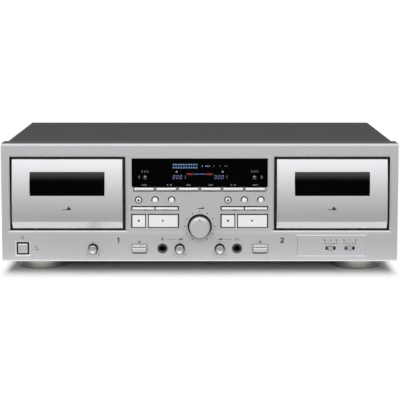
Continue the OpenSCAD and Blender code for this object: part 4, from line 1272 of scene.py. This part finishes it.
@dataclass
class Panel:
    """Front panel with its printed signs and the sills in its holes."""

    node: str = "front_panel"
    row: float = LOW_ROW
    bank_x: float = BANK_X
    eject_x: float = EJECT_X
    switch_xs: Point = SWITCH_XS
    joints: Point = (82.3, 207.7)
    rims: tuple[Rim, ...] = (
        Rim(BANK_X, ROUND_Z, 23.5, 4.8, 0.5),
        Rim(BANK_X, 57.6, 26.6, 8.2, 0.55),
        Rim(BANK_X, 71.4, 26.6, 3.2, 0.4),
        Rim(37.0, 90.6, 40.0, 0.7, 0.3),
        Rim(22.0, LOW_ROW, 6.4, 6.4, 0.5),
        Rim(117.4, LOW_ROW, 6.4, 6.4, 0.5),
        Rim(0.0, LEVEL_Z, 14.0, 14.0, 0.4),
        Rim(EJECT_X, LOW_ROW, 9.4, 5.8, 0.4),
    )
    dots: int = 11
    dot_ring: float = 16.5
    dot_r: float = 0.65
    dot_start: float = -150.0
    dot_step: float = 30.0
    small_ring: float = 6.6
    small_dot_r: float = 0.45
    small_dot: Point = (0.5, -0.866)
    ends_x: float = 6.4
    ends_drop: float = 7.0
    ends_w: float = 1.5
    sign_z: float = 37.6
    knob_x: float = 22.0
    wedge: Point = (6.0, 1.8)
    underline: Block = (31.5, 37.2, 8.0, 0.35)
    jack_x: float = 41.0
    eject_z: float = 34.9
    number_xs: Point = (-89.1, 90.7)
    number_z: float = 36.3
    number: Point = (6.0, 1.25)
    power_x: float = -194.9
    power_z: float = 39.4
    on_off_xs: Point = (-181.0, -178.4)
    on_off_zs: Point = (28.8, 25.9)
    lead_zs: Place = (30.6, 32.6, 34.2)
    lead_near: float = 2.5
    lead_far: float = 6.6
    switch_sign_z: float = 36.2
    level_wedge: Block = (0.0, 72.0, 9.0, 1.8)
    sill_in: float = 0.3
    sill_back: float = 1.2
    sill_w: float = 0.7
    button_sill_r: float = 3.5
    button_sill_arc: Point = (195, 345)
    wind_sill: Point = (69.1, 51.6)
    eject_sill_x: Point = (8.5, 7.8)
    eject_sill_z: Point = (4.9, 4.2)

    def scales(self, ink: Print) -> None:
        """Prints the dots and end marks round the knobs.

        Args:
            ink: The panel's print.
        """
        for i in range(self.dots):
            a = math.radians(self.dot_start + self.dot_step * i)
            ink.add(Pen.disc(self.dot_ring * math.sin(a), LEVEL_Z + self.dot_ring * math.cos(a), self.dot_r))
        across, up = (self.small_ring * share for share in self.small_dot)
        drop = self.row - self.ends_drop
        for x in SMALL_KNOBS.values():
            for side in SIDES:
                ink.add(Pen.disc(x + side * across, self.row + up, self.small_dot_r))
                ink.add(Pen.bar(x + side * self.ends_x, drop, self.ends_w, Pen.line))
            ink.add(Pen.bar(x + self.ends_x, drop, Pen.line, self.ends_w))
            ink.add(Pen.disc(x, self.row + self.small_ring, self.small_dot_r))

    def signs(self, ink: Print) -> None:
        """Prints the signs of the lower row.

        Args:
            ink: The panel's print.
        """
        z = self.sign_z
        x, *line = self.underline
        for side in SIDES:
            ink.add(Pen.wedge(side * self.knob_x, z, *self.wedge), Pen.bar(side * x, *line))
            ink.add(*Pen.eject(side * self.eject_x, self.eject_z))
        ink.add(*Pen.microphone(-self.jack_x, z), *Pen.headphones(self.jack_x, z))
        left, right = self.number_xs
        ink.add(*Pen.one(left, self.number_z, *self.number), *Pen.two(right, self.number_z, *self.number))
        ink.add(*Pen.power(self.power_x, self.power_z))
        (left, right), (high, low) = self.on_off_xs, self.on_off_zs
        ink.add(Pen.bar(left, high, 1.2, 1.2), Pen.bar(right, high, 0.45, 1.8))
        ink.add(Pen.bar(left, low, 1.2, 0.7), *Pen.ring(right, low, 0.8, Pen.line))

    def leads(self, ink: Print) -> None:
        """Prints the lines that lead from each switch's stops to their signs.

        Args:
            ink: The panel's print.
        """
        low, bend, high = self.lead_zs
        for x in self.switch_xs:
            ink.add(Pen.stroke([(x, low), (x, high)], Pen.fine))
            for side in SIDES:
                near, far = x + side * self.lead_near, x + side * self.lead_far
                ink.add(Pen.stroke([(near, low), (near, bend), (far, bend), (far, high)], Pen.fine))
        (first, second), z, far = self.switch_xs, self.switch_sign_z, self.lead_far
        ink.add(Pen.disc(first - far, z, 0.9), *Pen.ring(first, z, 0.8, Pen.fine))
        ink.add(Pen.dart(first + far, z, 1.8, 1.8), *Pen.ring(second - far, z, 0.8, Pen.fine))
        ink.add(*Pen.one(second, z, 1.9, Pen.line), *Pen.two(second + far, z, 1.9, Pen.line))

    def sill(self, name: str, finish: Finish, outlines: Sequence[Outline]) -> None:
        """Sets thin pieces in the panel's holes, just behind its face.

        Args:
            name: The piece's name.
            finish: Its finish.
            outlines: The outlines, in millimetres across and up.
        """
        depths = (FACE + self.sill_in, FACE + self.sill_back)
        form = bmesh.new()
        for outline in outlines:
            rows = [[form.verts.new(Vector((x, y, z)) * MM) for x, z in outline] for y in depths]
            form.faces.new(rows[0])
            form.faces.new(rows[1][::-1])
            wall(form, *rows)
        piece(name, form, finish, "casing")

    def sills(self) -> None:
        """Narrows the gaps under the round buttons and winding keys and round the eject keys."""
        plain: list[Outline] = []
        red: list[Outline] = []
        wind_z, wind_w = self.wind_sill
        (wide, inner), (tall, under) = self.eject_sill_x, self.eject_sill_z
        corners = ((0.0, tall), (wide, tall), (wide, -tall), (inner, -tall), (inner, under), (0.0, under))
        for side in SIDES:
            bank = side * self.bank_x
            for step in (-1, 0, 1):
                x = bank + step * ROUND_PITCH
                half = Pen.arc(x, ROUND_Z, self.button_sill_r, *self.button_sill_arc, self.sill_w)
                (red if step < 0 else plain).append(half)
            plain.append(Pen.bar(bank, wind_z, wind_w, self.sill_w))
            for end in SIDES:
                plain.append([(side * self.eject_x + end * u, self.row + v) for u, v in corners])
        self.sill("hole_sills", SILVER_KEY, plain)
        self.sill("record_sills", RED_INK, red)

    def build(self) -> None:
        """Dresses the panel and prints it."""
        dress(PANEL, 0.2, self.node, joints=self.joints, rims=self.rims)
        ink = Print("panel_signs", DARK_INK, self.node)
        self.scales(ink)
        self.signs(ink)
        self.leads(ink)
        ink.add(Pen.wedge(*self.level_wedge))
        ink.build()
        self.sills()


@dataclass
class Controls:
    """Buttons, keys, knobs and switches with their signs."""

    row: float = LOW_ROW
    bank_x: float = BANK_X
    wind_x: float = 11.3
    wind_z: float = 70.5
    stop_x: float = -17.9
    play_x: float = 8.95
    deck_z: float = 58.2
    round_z: float = ROUND_Z
    level_z: float = LEVEL_Z
    pointer: float = 9.2
    pointer_sign: Point = (1.8, 1.4)
    stop_sign: Point = (2.2, 2.2)
    play_sign: Point = (2.7, 2.5)
    wind_sign: Point = (1.7, 1.3)
    wind_step: float = 0.9
    record_r: float = 1.35
    record_drop: float = 0.1
    cap_r: float = 4.15
    cap_edge: tuple[Point, ...] = ((1.0, 0.02), (1.0, 0.35), (0.96, 0.5))
    cap_count: int = 48
    dish_r: float = 0.92
    dish_floor: float = 0.04
    dish_depth: float = 0.44
    dish: tuple[float, ...] = (1.0, 0.84, 0.68, 0.52, 0.36, 0.2)
    eject_x: float = EJECT_X
    grip_z: float = 28.9
    grip_pitch: float = 1.75
    grip_count: int = 8
    grip_line: Point = (1.25, 1.7)

    def dress(self) -> None:
        """Gives the controls their finishes."""
        dress(SILVER_KEY, 0.3, *(f"function_key_{i}" for i in range(1, 7)))
        dress(SILVER_KEY, 0.3, *pair("rewind_button"), *pair("forward_button"))
        dress(WHITE_KEY, 0.35, *pair("stop_button"), *pair("play_button"))
        dress(WHITE_KEY, 0.3, *pair("record_button"), *pair("pause_button"), *pair("mute_button"))
        dress(SILVER_KEY, 0.4, *pair("eject_button"))
        dress(POWER_KEY, 0.4, "power_button")
        dress(KNOB, 0.4, "rec_level_knob")
        dress(SMALL_KNOB, 0.3, *SMALL_KNOBS)
        dress(SLIDER, 0.2, "timer_switch", "noise_switch")

    def sign(self, node: str, *outlines: Outline, kind: str = "sign") -> None:
        """Prints a sign on one key.

        Args:
            node: The key's node and body.
            *outlines: The sign's outlines, without notches.
            kind: The last word of the piece's name.
        """
        ink = Print(f"{node}_{kind}", DARK_INK, node, node, crowned=True)
        ink.add(*outlines)
        ink.build()

    def cap(self, node: str, x: float, z: float) -> None:
        """Puts a dished metal cap on a small knob.

        Args:
            node: The knob's node and body.
            x: The knob's middle across.
            z: The knob's middle up.
        """
        seat = Relief.of(node).front(x, z) / MM
        dish = [(self.dish_r * share, self.dish_floor + self.dish_depth * share**2) for share in self.dish]
        form = bmesh.new()
        rings = []
        for share, up in (*self.cap_edge, *dish):
            spots = [Vector((u, seat - up, v)) for u, v in Pen.disc(x, z, self.cap_r * share, self.cap_count)]
            rings.append([form.verts.new(spot * MM) for spot in spots])
        form.faces.new(rings[0])
        form.faces.new(rings[-1])
        for low, high in zip(rings, rings[1:]):
            wall(form, high, low, smooth=True)
        piece(f"{node}_cap", form, CAP, node)

    def bank(self, number: int, side: int) -> None:
        """Prints the grip lines and signs of one deck's keys.

        Args:
            number: The deck's number.
            side: Its side, -1 or 1.
        """
        first = side * self.eject_x - (self.grip_count - 1) / 2 * self.grip_pitch
        lines = [Pen.bar(first + i * self.grip_pitch, self.grip_z, *self.grip_line) for i in range(self.grip_count)]
        self.sign(f"eject_button_{number}", *lines, kind="grip")
        middle = side * self.bank_x
        self.sign(f"stop_button_{number}", Pen.bar(middle + self.stop_x, self.deck_z, *self.stop_sign))
        self.sign(f"play_button_{number}", Pen.dart(middle + self.play_x, self.deck_z, *self.play_sign))
        for name, turn in (("rewind", -1), ("forward", 1)):
            xs = span(middle + turn * self.wind_x, self.wind_step)
            wide, tall = self.wind_sign
            darts = [Pen.dart(x, self.wind_z, turn * wide, tall) for x in xs]
            self.sign(f"{name}_button_{number}", *darts)
        x, z = middle - ROUND_PITCH, self.round_z - self.record_drop
        self.sign(f"record_button_{number}", Pen.disc(x, z, self.record_r))

    def build(self) -> None:
        """Dresses the controls and prints their signs."""
        self.dress()
        for node, x in SMALL_KNOBS.items():
            self.cap(node, x, self.row)
        self.sign("rec_level_knob", Pen.peak(0.0, self.level_z + self.pointer, *self.pointer_sign))
        for number, side in enumerate(SIDES, 1):
            self.bank(number, side)


@dataclass
class Studio:
    """Floor, lights, world and camera. Cards and lamps are placed in metres, the camera and shadow in millimetres."""

    eye: Place = (0.3, -1643.8, 306.5)
    pitch: float = 6.33
    lens: float = 125.56
    shift: float = -0.13
    sensor: float = 36.0
    floor_reach: float = 400.0
    floor_tones: Point = (0.86, 0.90)
    floor_grain: Place = (300, 300, 300)
    shade_x: float = 207.5
    side_fade: float = 2.4
    rear: float = REAR_FACE
    shade: Point = (3.0, 34.0)
    mirror: Point = (60.0, 200.0)
    mirror_front: Point = (-20.0, 4.0)
    flag_x: float = 3.0
    flag_ys: Place = (-0.155, -0.60, -2.3)
    flag_z: float = 0.004
    flag_top: float = 0.6
    grey: float = 0.26
    dark: float = 0.02
    box_x: float = 1.7
    box_ys: Point = (-2.2, -2.0)
    box_zs: Point = (0.285, 2.2)
    box_fade: float = 215.0
    box_strength: float = 2.6
    strip_ends: tuple[Point, Point] = ((-1.75, -1.85), (-2.40, -0.95))
    strip_top: float = 1.6
    strip_strength: float = 1.2
    lamp_place: Place = (0, -0.15, 2.0)
    lamp_aim: Place = (0, -0.15, 0)
    lamp_size: Point = (3.0, 2.4)
    lamp_power: float = 22.0
    world_strength: float = 0.25

    def stage(
        self, name: str, corners: Sequence[Place], material: bpy.types.Material, hidden: Sequence[str] = ()
    ) -> None:
        """Makes one flat piece of the studio.

        Args:
            name: Its name.
            corners: Its corners.
            material: Its material.
            hidden: The kinds of rays that don't see it.
        """
        mesh = bpy.data.meshes.new(name)
        mesh.from_pydata(corners, [], [tuple(range(len(corners)))])
        mesh.materials.append(material)
        made = bpy.data.objects.new(name, mesh)
        bpy.context.scene.collection.objects.link(made)
        for kind in hidden:
            setattr(made, f"visible_{kind}", False)

    def seen(self, graph: Graph) -> Wire:
        """1 where the camera looks, straight or through a clear piece."""
        return graph.ray("Camera") + graph.ray("Transmission")

    def floor(self) -> None:
        """Makes the pale floor, which is white far from the deck and keeps its shadow near it."""
        made, graph = blank("studio_floor")
        x, y, _ = graph.axes()
        beside = (x - self.shade_x).larger(-self.shade_x - x)
        front = FACE - y
        before = (y - self.rear).larger(front)
        away = ((beside * self.side_fade).larger(0.0) ** 2.0 + before.larger(0.0) ** 2.0) ** 0.5
        clear = beside.larger(before).step(*self.mirror).larger(front.step(*self.mirror_front))
        white = away.step(*self.shade) * self.seen(graph) + graph.ray("Glossy") * clear
        tones = [(tone, tone, tone) for tone in self.floor_tones]
        colour = graph.mix(graph.noise(self.floor_grain), *tones)
        paint = graph.result("ShaderNodeBsdfDiffuse", None, {"Color": colour})
        graph.end(graph.blend(white, paint, graph.white(1.0)))
        r = self.floor_reach
        self.stage("floor", [(-r, -r, 0), (r, -r, 0), (r, r, 0), (-r, r, 0)], made)

    def flag(self, name: str, low: Point, high: Point, tone: float) -> None:
        """Lays or stands one card in front, which only reflections show.

        Args:
            name: Its name.
            low: Its first edge's y and z.
            high: Its other edge's y and z.
            tone: How pale it is.
        """
        made, graph = blank("studio_" + name)
        graph.end(graph.result("ShaderNodeBsdfDiffuse", None, {"Color": (tone, tone, tone, 1)}))
        x = self.flag_x
        corners = [(-x, *low), (x, *low), (x, *high), (-x, *high)]
        self.stage(name, corners, made, ("camera", "diffuse", "shadow", "transmission"))

    def flags(self) -> None:
        """Lays a grey card and a dark one in front of the deck, and stands a dark one behind them."""
        near, middle, far = self.flag_ys
        z = self.flag_z
        self.flag("flag_near", (middle, z), (near, z), self.grey)
        self.flag("flag_low", (far, z), (middle, z), self.dark)
        self.flag("flag_high", (far, 0.0), (far, self.flag_top), self.dark)

    def softbox(self) -> None:
        """Hangs the front softbox, which fades out at its lower edge."""
        made, graph = blank("studio_softbox")
        x, ys, (low, high) = self.box_x, self.box_ys, self.box_zs
        fade = graph.axes()[2].step(low / MM, low / MM + self.box_fade)
        graph.end(graph.blend(fade, graph.white(0.0), graph.white(self.box_strength)))
        corners = [(-x, ys[0], low), (x, ys[0], low), (x, ys[1], high), (-x, ys[1], high)]
        self.stage("softbox", corners, made, ("camera", "shadow"))

    def strip(self) -> None:
        """Stands a tall lit card at the left, which only reflections show."""
        made, graph = blank("studio_strip")
        graph.end(graph.white(self.strip_strength))
        (near, far), top = self.strip_ends, self.strip_top
        corners = [(*near, 0.0), (*far, 0.0), (*far, top), (*near, top)]
        self.stage("strip_card", corners, made, ("camera", "diffuse", "shadow"))

    def lamp(self) -> None:
        """Hangs the soft lamp overhead."""
        light = bpy.data.lights.new("overhead", "AREA")
        light.shape = "RECTANGLE"
        light.size, light.size_y = self.lamp_size
        light.energy = self.lamp_power
        made = bpy.data.objects.new("overhead", light)
        made.location = self.lamp_place
        along = Vector(self.lamp_aim) - Vector(self.lamp_place)
        made.rotation_euler = along.to_track_quat("-Z", "Y").to_euler()
        made.visible_camera = False
        bpy.context.scene.collection.objects.link(made)

    def world(self) -> None:
        """Fills the studio with pale light, in front of a white ground."""
        made = bpy.data.worlds.new("studio")
        made.use_nodes = True
        graph = Graph(made.node_tree)
        pale, white = (graph.white(strength, "ShaderNodeBackground") for strength in (self.world_strength, 1.0))
        graph.end(graph.blend(self.seen(graph), pale, white), "ShaderNodeOutputWorld")
        bpy.context.scene.world = made

    def camera(self) -> None:
        """Sets the camera at the photograph's viewing angle."""
        data = bpy.data.cameras.new("camera")
        data.sensor_fit = "HORIZONTAL"
        data.sensor_width = self.sensor
        data.lens = self.lens
        data.shift_y = self.shift
        made = bpy.data.objects.new("camera", data)
        made.location = Vector(self.eye) * MM
        made.rotation_euler = (math.radians(90 - self.pitch), 0, 0)
        bpy.context.scene.collection.objects.link(made)
        bpy.context.scene.camera = made

    def build(self) -> None:
        """Builds the studio."""
        bpy.context.scene.view_settings.view_transform = "Standard"
        self.floor()
        self.flags()
        self.softbox()
        self.strip()
        self.lamp()
        self.world()
        self.camera()


def main() -> None:
    """Builds the deck's dress and its studio."""
    logging.basicConfig(level=logging.INFO, format="%(name)s: %(message)s")
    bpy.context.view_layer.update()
    for part in (Studio(), Casing(), Panel(), Display(), Doors(), Controls()):
        LOG.info("building %s", type(part).__name__)
        part.build()


if __name__ == "__main__":
    main()
